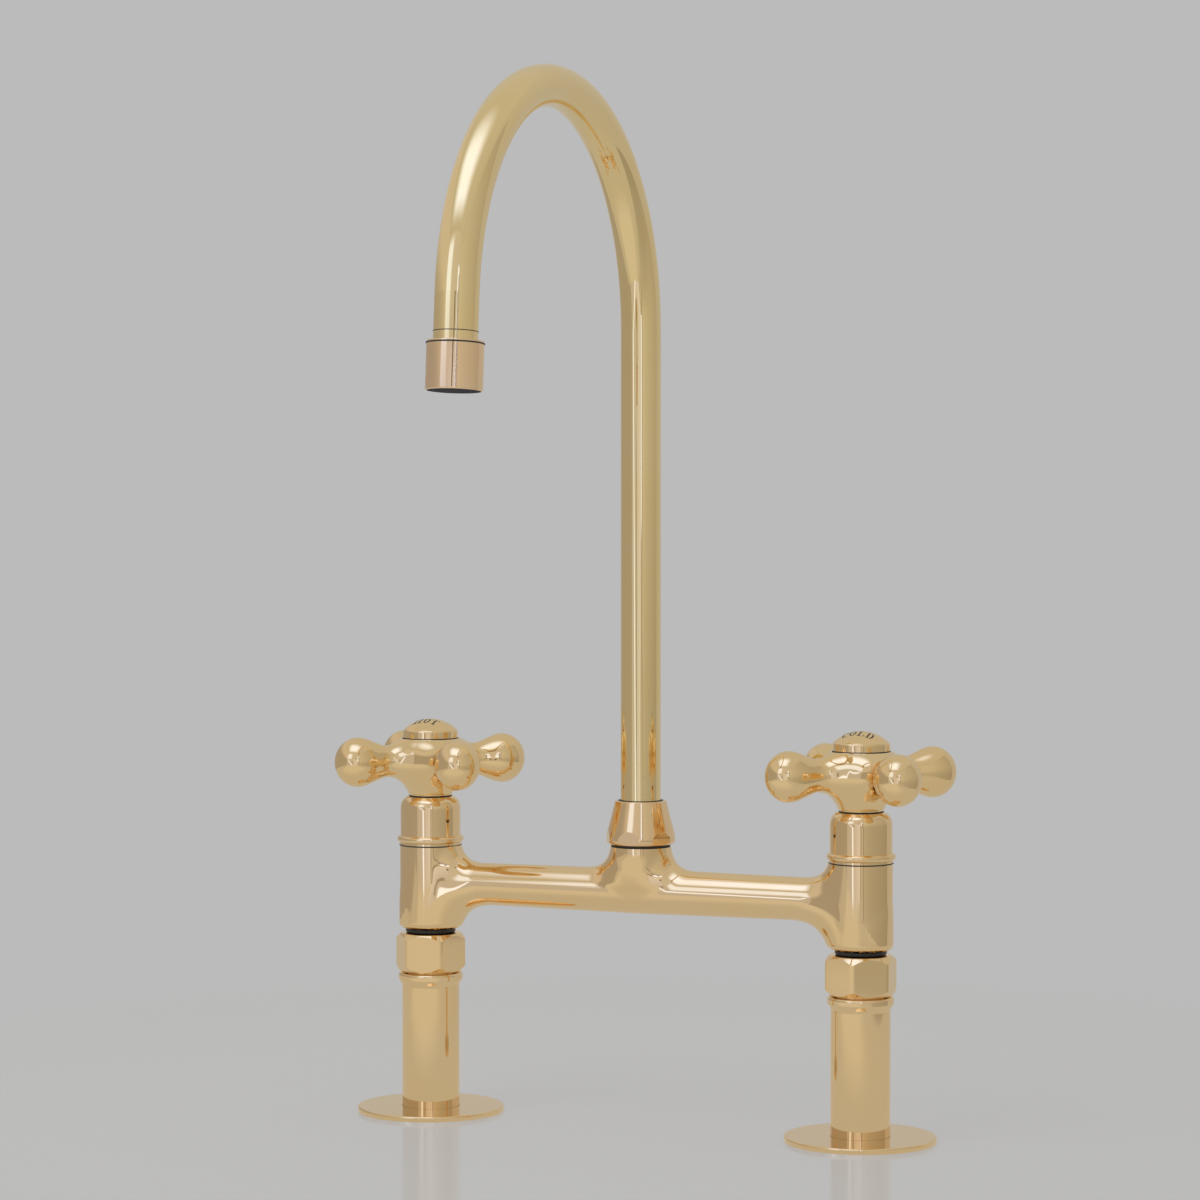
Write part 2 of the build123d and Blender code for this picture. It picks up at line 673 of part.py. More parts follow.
def gland_nut():
    """Nut with a low belt, cut by six flats, under a long taper."""
    belt_r = GLAND_NUT_D / 2
    envelope = turned(
        (0, GLAND_NUT_Z),
        (belt_r, GLAND_NUT_Z, GLAND_NUT_FOOT_R),
        (belt_r, GLAND_NUT_Z + GLAND_NUT_BELT_H, GLAND_NUT_BEND_R),
        (GLAND_NUT_TOP_D / 2, GLAND_NUT_TOP_Z, GLAND_NUT_TOP_R),
        (0, GLAND_NUT_TOP_Z),
    )
    nut = envelope & hexagon(GLAND_NUT_AF, GLAND_NUT_Z, GLAND_NUT_TOP_Z)
    nut -= rod(SOCKET_THREAD_D + 2 * THREAD_GAP, GLAND_NUT_Z, GLAND_ROOF_Z)
    nut -= rod(SPOUT_D + 2 * SLIP_GAP, GLAND_NUT_Z, GLAND_NUT_TOP_Z)
    return nut - rod(WIPER_D + 2 * THREAD_GAP, WIPER_Z, GLAND_NUT_TOP_Z)


def thrust_rings():
    """Two low-friction rings, under and over the spigot's collar."""
    outer_d = SOCKET_THREAD_D - 2 * SLIP_GAP
    under = tube(SOCKET_D, outer_d, SOCKET_TOP_Z, SOCKET_TOP_Z + THRUST_T)
    over = tube(SPOUT_D + 2 * SLIP_GAP, outer_d, GLAND_ROOF_Z - THRUST_T, GLAND_ROOF_Z)
    return Compound([under, over])


def spout_wiper():
    return seal_ring(SPOUT_D + 2 * RUNNING_GAP, WIPER_D, WIPER_Z, WIPER_Z + WIPER_T)


# ---------------------------------------------------------------- spout
# drawn in the plane of the spout: forward from the riser, and height
SPOUT_PLANE = Plane(origin=(0, 0, 0), x_dir=(0, -1, 0), z_dir=(-1, 0, 0))


def spout_path():
    """Riser, wide arch and short straight outlet, joined tangentially."""
    riser = Line((0, SPOUT_Z), (0, SPOUT_ARC_UP))
    arch = CenterArc((SPOUT_ARC_R, SPOUT_ARC_UP), SPOUT_ARC_R, 180, -SPOUT_ARC_SWEEP)
    drop = Line(arch @ 1, arch @ 1 + (arch % 1) * SPOUT_DROP)
    return [SPOUT_PLANE * edge for edge in (riser, arch, drop)]


def spout_tube():
    """Bent tube of even wall, swept along the spout's path."""
    foot = Plane(origin=(0, 0, SPOUT_Z), z_dir=(0, 0, 1))
    section = foot * (Circle(SPOUT_D / 2) - Circle(SPOUT_BORE_D / 2))
    return sweep(section, path=Wire(spout_path()))


def o_ring_levels():
    """Lower faces of the spigot's two sealing rings."""
    return [SPIGOT_COLLAR_Z - SPIGOT_L + up for up in O_RING_UP]


def spout_spigot():
    """Stub brazed into the tube's foot: a collar that the gland holds, and two ring grooves."""
    outer_d = SOCKET_D - 2 * RUNNING_GAP
    body = rod(outer_d, SPIGOT_COLLAR_Z - SPIGOT_L, SPIGOT_COLLAR_Z)
    body += rod(SPIGOT_COLLAR_D, SPIGOT_COLLAR_Z, SPOUT_Z)
    body += rod(SPOUT_BORE_D - 2 * THREAD_GAP, SPOUT_Z, SPOUT_Z + SPIGOT_STUB_L)
    for level in o_ring_levels():
        body -= tube(outer_d - 2 * O_RING_DEPTH, outer_d + CUT_OVER, level, level + O_RING_W)
    return body - rod(SPIGOT_BORE_D, SPIGOT_COLLAR_Z - SPIGOT_L, SPOUT_Z + SPIGOT_STUB_L)


def spout_seals():
    inner_d = SOCKET_D - 2 * RUNNING_GAP - 2 * O_RING_DEPTH
    outer_d = SOCKET_D - 2 * SEAL_GAP
    return Compound([seal_ring(inner_d, outer_d, level, level + O_RING_W) for level in o_ring_levels()])


# ---------------------------------------------------------------- outlet and aerator
# drawn upright with the tube's end at height 0, so that the water falls towards -Z
HOUSING_TOP = -COLLAR_H
HOUSING_END = HOUSING_TOP - AERATOR_H
THREAD_TOP = HOUSING_TOP - AERATOR_THREAD_TOP
THREAD_END = THREAD_TOP - AERATOR_THREAD_L
SCREEN_TOP = HOUSING_END + AERATOR_MOUTH_H
INSERT_TOP = THREAD_END - AERATOR_WASHER_T


def outlet_place():
    """Frame at the tube's end, with +Z back up the tube and +X along the bridge."""
    path_end = spout_path()[-1]
    return Plane(origin=path_end @ 1, x_dir=(1, 0, 0), z_dir=-(path_end % 1))


def spout_end():
    """Collar brazed on the tube's end, with a fine groove at the seam and the aerator's thread."""
    side_r = SPOUT_D / 2
    thread_r = AERATOR_BORE_D / 2 - THREAD_GAP
    bore_r = AERATOR_COLLAR_BORE_D / 2
    stub_r = SPOUT_BORE_D / 2 - THREAD_GAP
    return turned(
        (bore_r, COLLAR_STUB_L),
        (stub_r, COLLAR_STUB_L),
        (stub_r, 0),
        (side_r - COLLAR_GROOVE, 0),
        (side_r, -COLLAR_GROOVE),
        (side_r, THREAD_TOP),
        (thread_r, THREAD_TOP),
        (thread_r, THREAD_END),
        (bore_r, THREAD_END),
    )


def aerator_housing():
    """Sleeve with a rounded lower edge and a step at its mouth that holds the screen."""
    bore_r = AERATOR_BORE_D / 2
    outer_r = AERATOR_D / 2
    mouth_r = AERATOR_MOUTH_D / 2
    return turned(
        (bore_r, HOUSING_TOP),
        (outer_r, HOUSING_TOP, AERATOR_TOP_EDGE_R),
        (outer_r, HOUSING_END, AERATOR_LOW_EDGE_R),
        (mouth_r, HOUSING_END),
        (mouth_r, SCREEN_TOP),
        (bore_r, SCREEN_TOP),
    )


def aerator_washer():
    return tube(AERATOR_COLLAR_BORE_D, AERATOR_BORE_D - 2 * SLIP_GAP, INSERT_TOP, THREAD_END)


def aerator_insert():
    """Drilled plastic disc that straightens the stream."""
    insert = rod(AERATOR_BORE_D - 2 * SLIP_GAP, SCREEN_TOP, INSERT_TOP)
    holes = []
    for ring_r, count in zip(INSERT_RING_R, INSERT_RING_COUNT):
        for place in PolarLocations(ring_r, count):
            holes.append(place * rod(INSERT_HOLE_D, SCREEN_TOP, INSERT_TOP))
    return insert - holes


def aerator_screen():
    """Thin disc in place of the woven mesh, pressed into the mouth."""
    return rod(AERATOR_MOUTH_D - 2 * THREAD_GAP, SCREEN_TOP - SCREEN_T, SCREEN_TOP)


# ---------------------------------------------------------------- assembly
def column_pieces(side):
    """Every piece of one leg, column and handle, drawn about Z."""
    return {
        "deck_flange": deck_flange(),
        "pillar_leg": pillar_leg(),
        "union_nut": union_nut(side),
        "union_tail": union_tail(),
        "tail_washer": tail_washer(),
        "leg_seal": leg_seal(),
        "bonnet": bonnet(),
        "cartridge_body": cartridge_body(),
        "cartridge_gasket": cartridge_gasket(),
        "fixed_disc": fixed_disc(),
        "moving_disc": moving_disc(),
        "valve_spindle": valve_spindle(),
        "spindle_seal": spindle_seal(),
        "spindle_clip": spindle_clip(),
        "cross_handle": cross_handle(),
        "handle_screw": handle_screw(),
        "index_cap": index_cap(),
    }


def middle_pieces():
    """The bridge, the gland and the spout's foot and tube."""
    return {
        "bridge_body": bridge_body(),
        "gland_ring": gland_ring(),
        "gland_nut": gland_nut(),
        "thrust_rings": thrust_rings(),
        "spout_wiper": spout_wiper(),
        "spout_spigot": spout_spigot(),
        "spout_seals": spout_seals(),
        "spout_tube": spout_tube(),
    }


def outlet_pieces():
    """What the spout's end carries."""
    return {
        "spout_end": spout_end(),
        "aerator_housing": aerator_housing(),
        "aerator_washer": aerator_washer(),
        "aerator_insert": aerator_insert(),
        "aerator_screen": aerator_screen(),
    }


def all_nodes():
    nodes = middle_pieces()
    for side, sign in SIDES.items():
        for name, piece in column_pieces(side).items():
            nodes[f"{side}_{name}"] = Pos(sign * TAP_CENTRES / 2, 0, 0) * piece
    place = outlet_place()
    for name, piece in outlet_pieces().items():
        nodes[name] = place * piece
    return nodes


os.makedirs("parts", exist_ok=True)
for name, piece in all_nodes().items():
    export_step(piece, f"parts/{name}.step")
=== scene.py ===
"""Looks of the bridge kitchen faucet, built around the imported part. Metres, in the part's own frame.

+Z is up from the deck, X runs along the bridge with the hot side at -X, and the spout points along -Y.
"""

import json
from math import cos, pi, radians, sin, sqrt

import bmesh
import bpy
import numpy as np
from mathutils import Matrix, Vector


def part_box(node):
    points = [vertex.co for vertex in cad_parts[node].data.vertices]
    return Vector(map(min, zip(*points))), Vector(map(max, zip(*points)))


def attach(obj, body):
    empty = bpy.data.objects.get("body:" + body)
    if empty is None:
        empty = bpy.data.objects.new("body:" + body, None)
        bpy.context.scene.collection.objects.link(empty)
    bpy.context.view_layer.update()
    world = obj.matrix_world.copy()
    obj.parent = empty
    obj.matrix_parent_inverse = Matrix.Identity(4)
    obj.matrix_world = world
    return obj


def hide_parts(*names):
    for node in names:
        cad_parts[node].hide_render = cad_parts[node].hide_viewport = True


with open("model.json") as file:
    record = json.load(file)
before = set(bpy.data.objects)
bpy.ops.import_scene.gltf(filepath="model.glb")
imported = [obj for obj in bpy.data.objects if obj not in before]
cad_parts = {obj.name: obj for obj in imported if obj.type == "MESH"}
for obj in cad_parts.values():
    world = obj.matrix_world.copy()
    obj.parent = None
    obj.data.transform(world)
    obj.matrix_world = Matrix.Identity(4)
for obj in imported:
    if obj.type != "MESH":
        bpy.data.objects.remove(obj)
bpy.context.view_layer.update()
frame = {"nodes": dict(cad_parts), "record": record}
nodes = frame["nodes"]


# ---------------------------------------------------------------- places taken from the frame
def middle_of(name):
    """Middle of a node's box."""
    low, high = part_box(name)
    return [(start + end) / 2 for start, end in zip(low, high)]


def half_width(name):
    """Half of a node's width along the bridge, which is the radius of a turned piece."""
    low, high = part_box(name)
    return (high[0] - low[0]) / 2


SIDES = {"hot": -1, "cold": 1}
BRIDGE_LOW, BRIDGE_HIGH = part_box("bridge_body")
TAP_X = middle_of("cold_index_cap")[0]
COLUMN_R = BRIDGE_HIGH[0] - TAP_X
COLUMN_LOW = BRIDGE_LOW[2]
COLUMN_H = 0.0365
COLUMN_HIGH = COLUMN_LOW + COLUMN_H
AXIS_UP = 0.0201
AXIS_Z = COLUMN_LOW + AXIS_UP
NECK_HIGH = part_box("gland_ring")[0][2]
SOCKET_HIGH = BRIDGE_HIGH[2]
HANDLE_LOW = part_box("cold_cross_handle")[0][2]
HUB_HIGH = 0.0250
CAP_R = half_width("cold_index_cap")
TURN_STEPS = 96
TINY = 1e-9


def add_object(name, data):
    """New object that holds the data, linked to the scene."""
    item = bpy.data.objects.new(name, data)
    bpy.context.scene.collection.objects.link(item)
    return item


# ---------------------------------------------------------------- camera of the photograph
PHOTO_WIDTH = 1200
CAMERA_PLACE = (0.5941, -1.4927, 0.2878)
CAMERA_AZIMUTH = 22.33
CAMERA_PITCH = 2.15
FOCAL_PIXELS = 3731.0
SENSOR_MM = 36.0


def make_camera():
    """Camera fitted to the outlines of the legs, columns, bridge and spout in the photograph."""
    data = bpy.data.cameras.new("camera")
    data.sensor_width = SENSOR_MM
    data.lens = FOCAL_PIXELS / PHOTO_WIDTH * SENSOR_MM
    camera = add_object("camera", data)
    camera.location = CAMERA_PLACE
    camera.rotation_euler = (radians(90 - CAMERA_PITCH), 0, radians(CAMERA_AZIMUTH))
    bpy.context.scene.camera = camera


# ---------------------------------------------------------------- node helpers
class Tree:
    """Short way to write the nodes of a material or of the world."""

    def __init__(self, owner):
        owner.use_nodes = True
        self.nodes = owner.node_tree.nodes
        self.links = owner.node_tree.links
        self.nodes.clear()

    def add(self, kind, inputs=None, **settings):
        """New node. Its settings are set first, and then each input is linked or set."""
        node = self.nodes.new(kind)
        for name, value in settings.items():
            setattr(node, name, value)
        for name, value in (inputs or {}).items():
            socket = node.inputs[name]
            if isinstance(value, bpy.types.NodeSocket):
                self.links.new(value, socket)
            else:
                socket.default_value = value
        return node

    def output(self, kind, inputs=None, **settings):
        """First output of a new node."""
        return self.add(kind, inputs, **settings).outputs[0]

    def place(self):
        """Place on the object, in its own coordinates."""
        return self.add("ShaderNodeTexCoord").outputs["Object"]

    def split(self, vector):
        """The X, Y and Z of a vector."""
        return self.add("ShaderNodeSeparateXYZ", {0: vector}).outputs

    def math(self, operation, *values):
        return self.output("ShaderNodeMath", dict(enumerate(values)), operation=operation)

    def smooth(self, value, low, high, result_low=0.0, result_high=1.0):
        """Smooth step from one result at the low value to the other at the high value."""
        inputs = {"Value": value, "From Min": low, "From Max": high}
        inputs |= {"To Min": result_low, "To Max": result_high}
        return self.output("ShaderNodeMapRange", inputs, interpolation_type="SMOOTHSTEP")

    def mix(self, factor, first, second):
        """Blend of two colours, through the mix node's own sockets for colours."""
        return self.add("ShaderNodeMix", {0: factor, 6: first, 7: second}, data_type="RGBA").outputs[2]

    def mix_shader(self, factor, first, second):
        return self.output("ShaderNodeMixShader", {0: factor, 1: first, 2: second})


def toned(colour, share=1.0):
    """Colour with full alpha, taken to a share of itself, or to one share for each channel."""
    return (*(np.array(colour) * share), 1.0)


# ---------------------------------------------------------------- materials
NOISE_BAND = (0.30, 0.70)
CLOUD_BAND = (0.35, 0.65)
CLOUD_TINT = (1.0, 0.985, 0.94)
BUFFING_SPREAD = (0.8, 1.25)
PIT_SPACING = 0.0045
PIT_R = 0.00016
PIT_DEPTH = 1e-5
PIT_TINT = (0.35, 0.28, 0.25)
PIT_DULLNESS = 0.3
GRAIN_SPACING = 0.0012
GRAIN_R = 0.0001
GRAIN_GREY = (0.45, 0.45, 0.43)
TOOL_RING_SPACING = 0.001885
WAVE_PERIOD = pi / 10  # a wave texture of scale 1 repeats after this length


def new_material(name):
    material = bpy.data.materials.new(name)
    return material, Tree(material)


def noise(tree, scale, detail=2.0, stretch=(1.0, 1.0, 1.0)):
    """Soft noise over the object's own coordinates, about 0.5 on average."""
    place = tree.output("ShaderNodeMapping", {"Vector": tree.place(), "Scale": stretch})
    return tree.output("ShaderNodeTexNoise", {"Vector": place, "Scale": scale, "Detail": detail})


def specks(tree, spacing, radius, share):
    """Scattered round specks: 1 inside a speck. The share is that of the cells that have one."""
    cells = tree.add("ShaderNodeTexVoronoi", {"Vector": tree.place(), "Scale": 1 / spacing}).outputs
    inside = tree.smooth(cells["Distance"], radius / spacing, 0.5 * radius / spacing)
    draw = tree.output("ShaderNodeSeparateColor", {0: cells["Color"]})
    return tree.math("MULTIPLY", inside, tree.math("LESS_THAN", draw, share))


def finish(tree, material, colour, roughness, metallic, height=None, depth=0.0):
    """Principled surface, with a height map of the given depth in metres where it has one."""
    inputs = {"Base Color": colour, "Roughness": roughness, "Metallic": metallic}
    if height is not None:
        bump = {"Strength": 1.0, "Distance": depth, "Height": height}
        inputs["Normal"] = tree.output("ShaderNodeBump", bump)
    surface = tree.output("ShaderNodeBsdfPrincipled", inputs)
    tree.add("ShaderNodeOutputMaterial", {"Surface": surface})
    return material


def brass(name, colour, roughness=0.05, waviness=2e-6, pits=0.10):
    """Hand-polished brass: clouded tint, soft waviness, hairline buffing marks and a few casting pits."""
    material, tree = new_material(name)
    cloud = tree.smooth(noise(tree, scale=45.0), *CLOUD_BAND)
    tint = tree.mix(cloud, toned(colour), toned(colour, CLOUD_TINT))
    pit = specks(tree, PIT_SPACING, PIT_R, pits)
    tint = tree.mix(pit, tint, toned(colour, PIT_TINT))
    buffing = noise(tree, scale=900.0, detail=3.0, stretch=(1.0, 1.0, 0.08))
    smoothest, dullest = (roughness * share for share in BUFFING_SPREAD)
    gloss = tree.smooth(buffing, *NOISE_BAND, smoothest, dullest)
    gloss = tree.math("ADD", gloss, tree.math("MULTIPLY", pit, PIT_DULLNESS))
    waves = tree.math("MULTIPLY", noise(tree, scale=60.0, detail=1.0), waviness / PIT_DEPTH)
    height = tree.math("SUBTRACT", waves, pit)
    return finish(tree, material, tint, gloss, metallic=1.0, height=height, depth=PIT_DEPTH)


def machined(name, colour):
    """Turned metal with fine tool rings around the vertical."""
    material, tree = new_material(name)
    inputs = {"Vector": tree.place(), "Scale": WAVE_PERIOD / TOOL_RING_SPACING}
    rings = tree.add("ShaderNodeTexWave", inputs, bands_direction="Z").outputs[1]
    tint = tree.mix(noise(tree, scale=300.0), toned(colour), toned(colour, 0.85))
    return finish(tree, material, tint, roughness=0.25, metallic=1.0, height=rings, depth=4e-6)


def rubber(name, colour):
    """Moulded rubber: near black, faintly mottled and dusty."""
    material, tree = new_material(name)
    tint = tree.mix(noise(tree, scale=800.0), toned(colour), toned(colour, 2.2))
    dust = tree.smooth(noise(tree, scale=400.0), *NOISE_BAND, 0.38, 0.55)
    skin = noise(tree, scale=3000.0)
    return finish(tree, material, tint, dust, metallic=0.0, height=skin, depth=1e-5)


def pressed_fibre(name, colour):
    """Red fibre washer with short matted strands."""
    material, tree = new_material(name)
    strands = noise(tree, scale=900.0, detail=4.0, stretch=(1.0, 0.25, 1.0))
    tint = tree.mix(strands, toned(colour), toned(colour, 0.6))
    return finish(tree, material, tint, roughness=0.85, metallic=0.0, height=strands, depth=4e-5)


def lapped_ceramic(name, colour):
    """Lapped white ceramic with a few grey grains."""
    material, tree = new_material(name)
    grains = specks(tree, GRAIN_SPACING, GRAIN_R, share=0.3)
    tint = tree.mix(grains, toned(colour), toned(GRAIN_GREY))
    gloss = tree.smooth(noise(tree, scale=500.0), *NOISE_BAND, 0.14, 0.24)
    return finish(tree, material, tint, gloss, metallic=0.0)


def brushed_steel(name, colour, roughness):
    """Steel with a fine brushed grain."""
    material, tree = new_material(name)
    grain = noise(tree, scale=2500.0, stretch=(1.0, 1.0, 0.06))
    tint = tree.mix(grain, toned(colour), toned(colour, 0.75))
    return finish(tree, material, tint, roughness, metallic=1.0, height=grain, depth=3e-6)


def moulded_plastic(name, colour):
    """Moulded plastic with a fine orange-peel skin."""
    material, tree = new_material(name)
    tint = tree.mix(noise(tree, scale=150.0), toned(colour), toned(colour, 0.93))
    skin = noise(tree, scale=1800.0)
    return finish(tree, material, tint, roughness=0.35, metallic=0.0, height=skin, depth=1e-5)


def make_finishes():
    """One material for each material slot of the record, and the black of the words."""
    rows = {
        "polished_brass": (brass, (0.93, 0.70, 0.41), {"pits": 0.16}),
        "handle_brass": (brass, (0.93, 0.705, 0.40), {}),
        "nut_brass": (brass, (0.93, 0.69, 0.42), {}),
        "spout_brass": (brass, (0.93, 0.74, 0.41), {"waviness": 1e-6}),
        "aerator_brass": (brass, (0.93, 0.69, 0.45), {"roughness": 0.07}),
        "machined_brass": (machined, (0.90, 0.66, 0.34), {}),
        "black_rubber": (rubber, (0.012, 0.012, 0.013), {}),
        "fibre": (pressed_fibre, (0.35, 0.12, 0.08), {}),
        "ceramic": (lapped_ceramic, (0.82, 0.82, 0.80), {}),
        "stainless_steel": (brushed_steel, (0.62, 0.61, 0.60), {"roughness": 0.25}),
        "steel_mesh": (brushed_steel, (0.075, 0.075, 0.10), {"roughness": 0.45}),
        "white_plastic": (moulded_plastic, (0.80, 0.80, 0.78), {}),
        "grey_plastic": (moulded_plastic, (0.30, 0.30, 0.31), {}),
        "word_black": (rubber, (0.02, 0.016, 0.012), {}),
    }
    return {name: make(name, colour, **more) for name, (make, colour, more) in rows.items()}


def dress_nodes(finishes):
    """Gives every node of the frame the material that its slot names."""
    for row in frame["record"]["subparts"]:
        node = nodes[row["node"]]
        node.data.materials.clear()
        node.data.materials.append(finishes[row["material_slot"]])


# ---------------------------------------------------------------- smooth forms from distance fields
CAST_STEP = 0.0012
CAST_SPARE = 0.0025  # room that the grid leaves around a form
SLOPE_NUDGE = 2e-5
PULL_ROUNDS = 4
PULL_SLOPE_MIN = 0.05
LEVEL_FACE = 0.9999  # upright part of the normal from which a face counts as level
CREASE = 0.7  # cosine below which a face keeps its own normal


def smooth_union(first, second, reach):
    """Two distance fields joined, flowing into each other over the given reach."""
    overlap = np.maximum(reach - np.abs(first - second), 0.0)
    return np.minimum(first, second) - overlap**2 / (4 * np.maximum(reach, 1e-6))


def ease(share):
    """Smooth step from 0 to 1."""
    share = np.clip(share, 0, 1)
    return share**2 * (3 - 2 * share)


def curve_through(shape, place):
    """Smooth curve through (place, value, slope) rows, level beyond its ends."""
    result = np.full(np.shape(place), shape[0][1])
    for (start, first, lean), (end, last, end_lean) in zip(shape, shape[1:]):
        length = end - start
        share = np.clip((place - start) / length, 0, 1)
        rise = first * (2 * share**3 - 3 * share**2 + 1) + last * (3 * share**2 - 2 * share**3)
        bend = length * (lean * (share**3 - 2 * share**2 + share) + end_lean * (share**3 - share**2))
        result = np.where(place >= start, rise + bend, result)
    return result


def slope_of(field, points):
    """Gradient of a field at each point."""
    parts = []
    for axis in range(3):
        step = np.zeros(3)
        step[axis] = SLOPE_NUDGE
        parts.append((field(*(points + step).T) - field(*(points - step).T)) / (2 * SLOPE_NUDGE))
    return np.stack(parts, axis=1)


def field_mesh(field, low, high, step):
    """Points and quads of the surface where a field is zero, with one point in each cell that it crosses."""
    counts = [int(round((end - start) / step)) + 1 for start, end in zip(low, high)]
    lines = [start + step * np.arange(count) for start, count in zip(low, counts)]
    values = field(*np.meshgrid(*lines, indexing="ij"))
    cells = [count - 1 for count in counts]
    total = np.zeros((*cells, 3))
    hits = np.zeros(cells)
    crossings = []
    for axis in range(3):
        near = np.take(values, range(counts[axis] - 1), axis)
        far = np.take(values, range(1, counts[axis]), axis)
        places = np.argwhere((near < 0) != (far < 0))
        others = [(axis + 1) % 3, (axis + 2) % 3]
        within = [(places[:, other] > 0) & (places[:, other] < cells[other]) for other in others]
        places = places[np.all(within, axis=0)]
        near = near[tuple(places.T)]
        far = far[tuple(places.T)]
        spots = np.stack([line[places[:, index]] for index, line in enumerate(lines)], axis=1)
        spots[:, axis] += step * near / (near - far)
        around = []
        for first, second in ((1, 1), (0, 1), (0, 0), (1, 0)):
            cell = places.copy()
            cell[:, others[0]] -= first
            cell[:, others[1]] -= second
            around.append(cell)
            np.add.at(total, tuple(cell.T), spots)
            np.add.at(hits, tuple(cell.T), 1)
        crossings.append((around, near < 0))
    used = hits > 0
    number = np.cumsum(used.ravel()).reshape(cells) - 1
    points = pulled_to_surface(field, total[used] / hits[used][:, None])
    quads = []
    for around, outward in crossings:
        corners = np.stack([number[tuple(cell.T)] for cell in around], axis=1)
        corners[~outward] = corners[~outward][:, ::-1]
        quads.append(corners)
    return points, np.concatenate(quads)


def pulled_to_surface(field, points):
    """Points moved along the field's slope until they lie where it is zero."""
    for _ in range(PULL_ROUNDS):
        slope = slope_of(field, points)
        size = np.maximum((slope**2).sum(axis=1), PULL_SLOPE_MIN)
        points = points - slope * (field(*points.T) / size)[:, None]
    return points


def cut_level(builder, chosen, level, keep_below):
    """Cuts the chosen part of the form flat at a level and closes it there.

    Edges and corners are gathered in dicts, which keep their order, so that every run gives the same mesh.
    """
    faces = [face for face in builder.faces if chosen(face.calc_center_median())]
    edges = dict.fromkeys(edge for face in faces for edge in face.edges)
    corners = dict.fromkeys(vert for face in faces for vert in face.verts)
    way = 1 if keep_below else -1
    cut = bmesh.ops.bisect_plane(
        builder,
        geom=[*corners, *edges, *faces],
        dist=1e-7,
        plane_co=(0, 0, level),
        plane_no=(0, 0, way),
        clear_outer=True,
    )
    rims = [item for item in cut["geom_cut"] if isinstance(item, bmesh.types.BMEdge) and item.is_valid]
    bmesh.ops.triangle_fill(builder, edges=rims, use_beauty=True, use_dissolve=False, normal=(0, 0, way))


def ring_wall(builder, inner_r, outer_r, low, high):
    """Short tube around the upright axis."""
    turn = [2 * pi * step / TURN_STEPS for step in range(TURN_STEPS)]
    loops = []
    for radius, level in ((inner_r, low), (outer_r, low), (outer_r, high), (inner_r, high)):
        rim = [(radius * cos(angle), radius * sin(angle), level) for angle in turn]
        loops.append([builder.verts.new(place) for place in rim])
    for first, second in zip(loops, loops[1:] + loops[:1]):
        for step in range(TURN_STEPS):
            after = (step + 1) % TURN_STEPS
            builder.faces.new((first[step], first[after], second[after], second[step]))


def smooth_normals(shell, field):
    """Shades the form by the field's slope, except on its flat ends and beyond sharp edges."""
    for face in shell.polygons:
        face.use_smooth = True
    slope = slope_of(field, np.array([vert.co for vert in shell.vertices]))
    slope /= np.maximum(np.linalg.norm(slope, axis=1), TINY)[:, None]
    normals = []
    for face in shell.polygons:
        flat = tuple(face.normal)
        level = abs(flat[2]) > LEVEL_FACE
        for index in face.vertices:
            own = slope[index]
            normals.append(flat if level or own @ np.array(flat) < CREASE else tuple(own))
    shell.normals_split_custom_set(normals)


def formed(name, field, low, high, cuts, walls=()):
    """Smooth piece from a distance field, cut flat at its ends.

    Each cut is (which part, level, whether it keeps what is below). Each wall is what ring_wall takes.
    """
    points, quads = field_mesh(field, low, high, CAST_STEP)
    shell = bpy.data.meshes.new(name)
    shell.from_pydata(points.tolist(), [], quads.tolist())
    builder = bmesh.new()
    builder.from_mesh(shell)
    for chosen, level, keep_below in cuts:
        cut_level(builder, chosen, level, keep_below)
    for wall in walls:
        ring_wall(builder, *wall)
    bmesh.ops.recalc_face_normals(builder, faces=builder.faces)
    builder.to_mesh(shell)
    builder.free()
    smooth_normals(shell, field)
    return add_object(name, shell)


# ---------------------------------------------------------------- cast bridge
COLUMN_BORE_R = 0.0105
FOOT_R = 0.0116
FOOT_RISE = 0.0028
FOOT_DIP_MOST = 0.999
TUBE_MIDDLE_R = 0.00975
TUBE_END_R = 0.0090
# Rows of curve_through: the height above the tube's axis, the neck's radius and its slope.
NECK_SHAPE = ((-0.0030, 0.00928, 0.30), (0.0105, 0.0127, 0.08), (0.0170, 0.0131, 0.0))
NECK_FADE = 0.0045
NECK_FLOW = 0.013
SOCKET_R = 0.0080
SOCKET_THREAD_R = 0.0115
COLUMN_FLOW_LOW = 0.018
COLUMN_FLOW_HIGH = 0.012
COLUMN_FLOW_FADE = 0.012
CAST_MIDDLE = 0.05  # distance from the middle where the neck's part gives way to a column's part


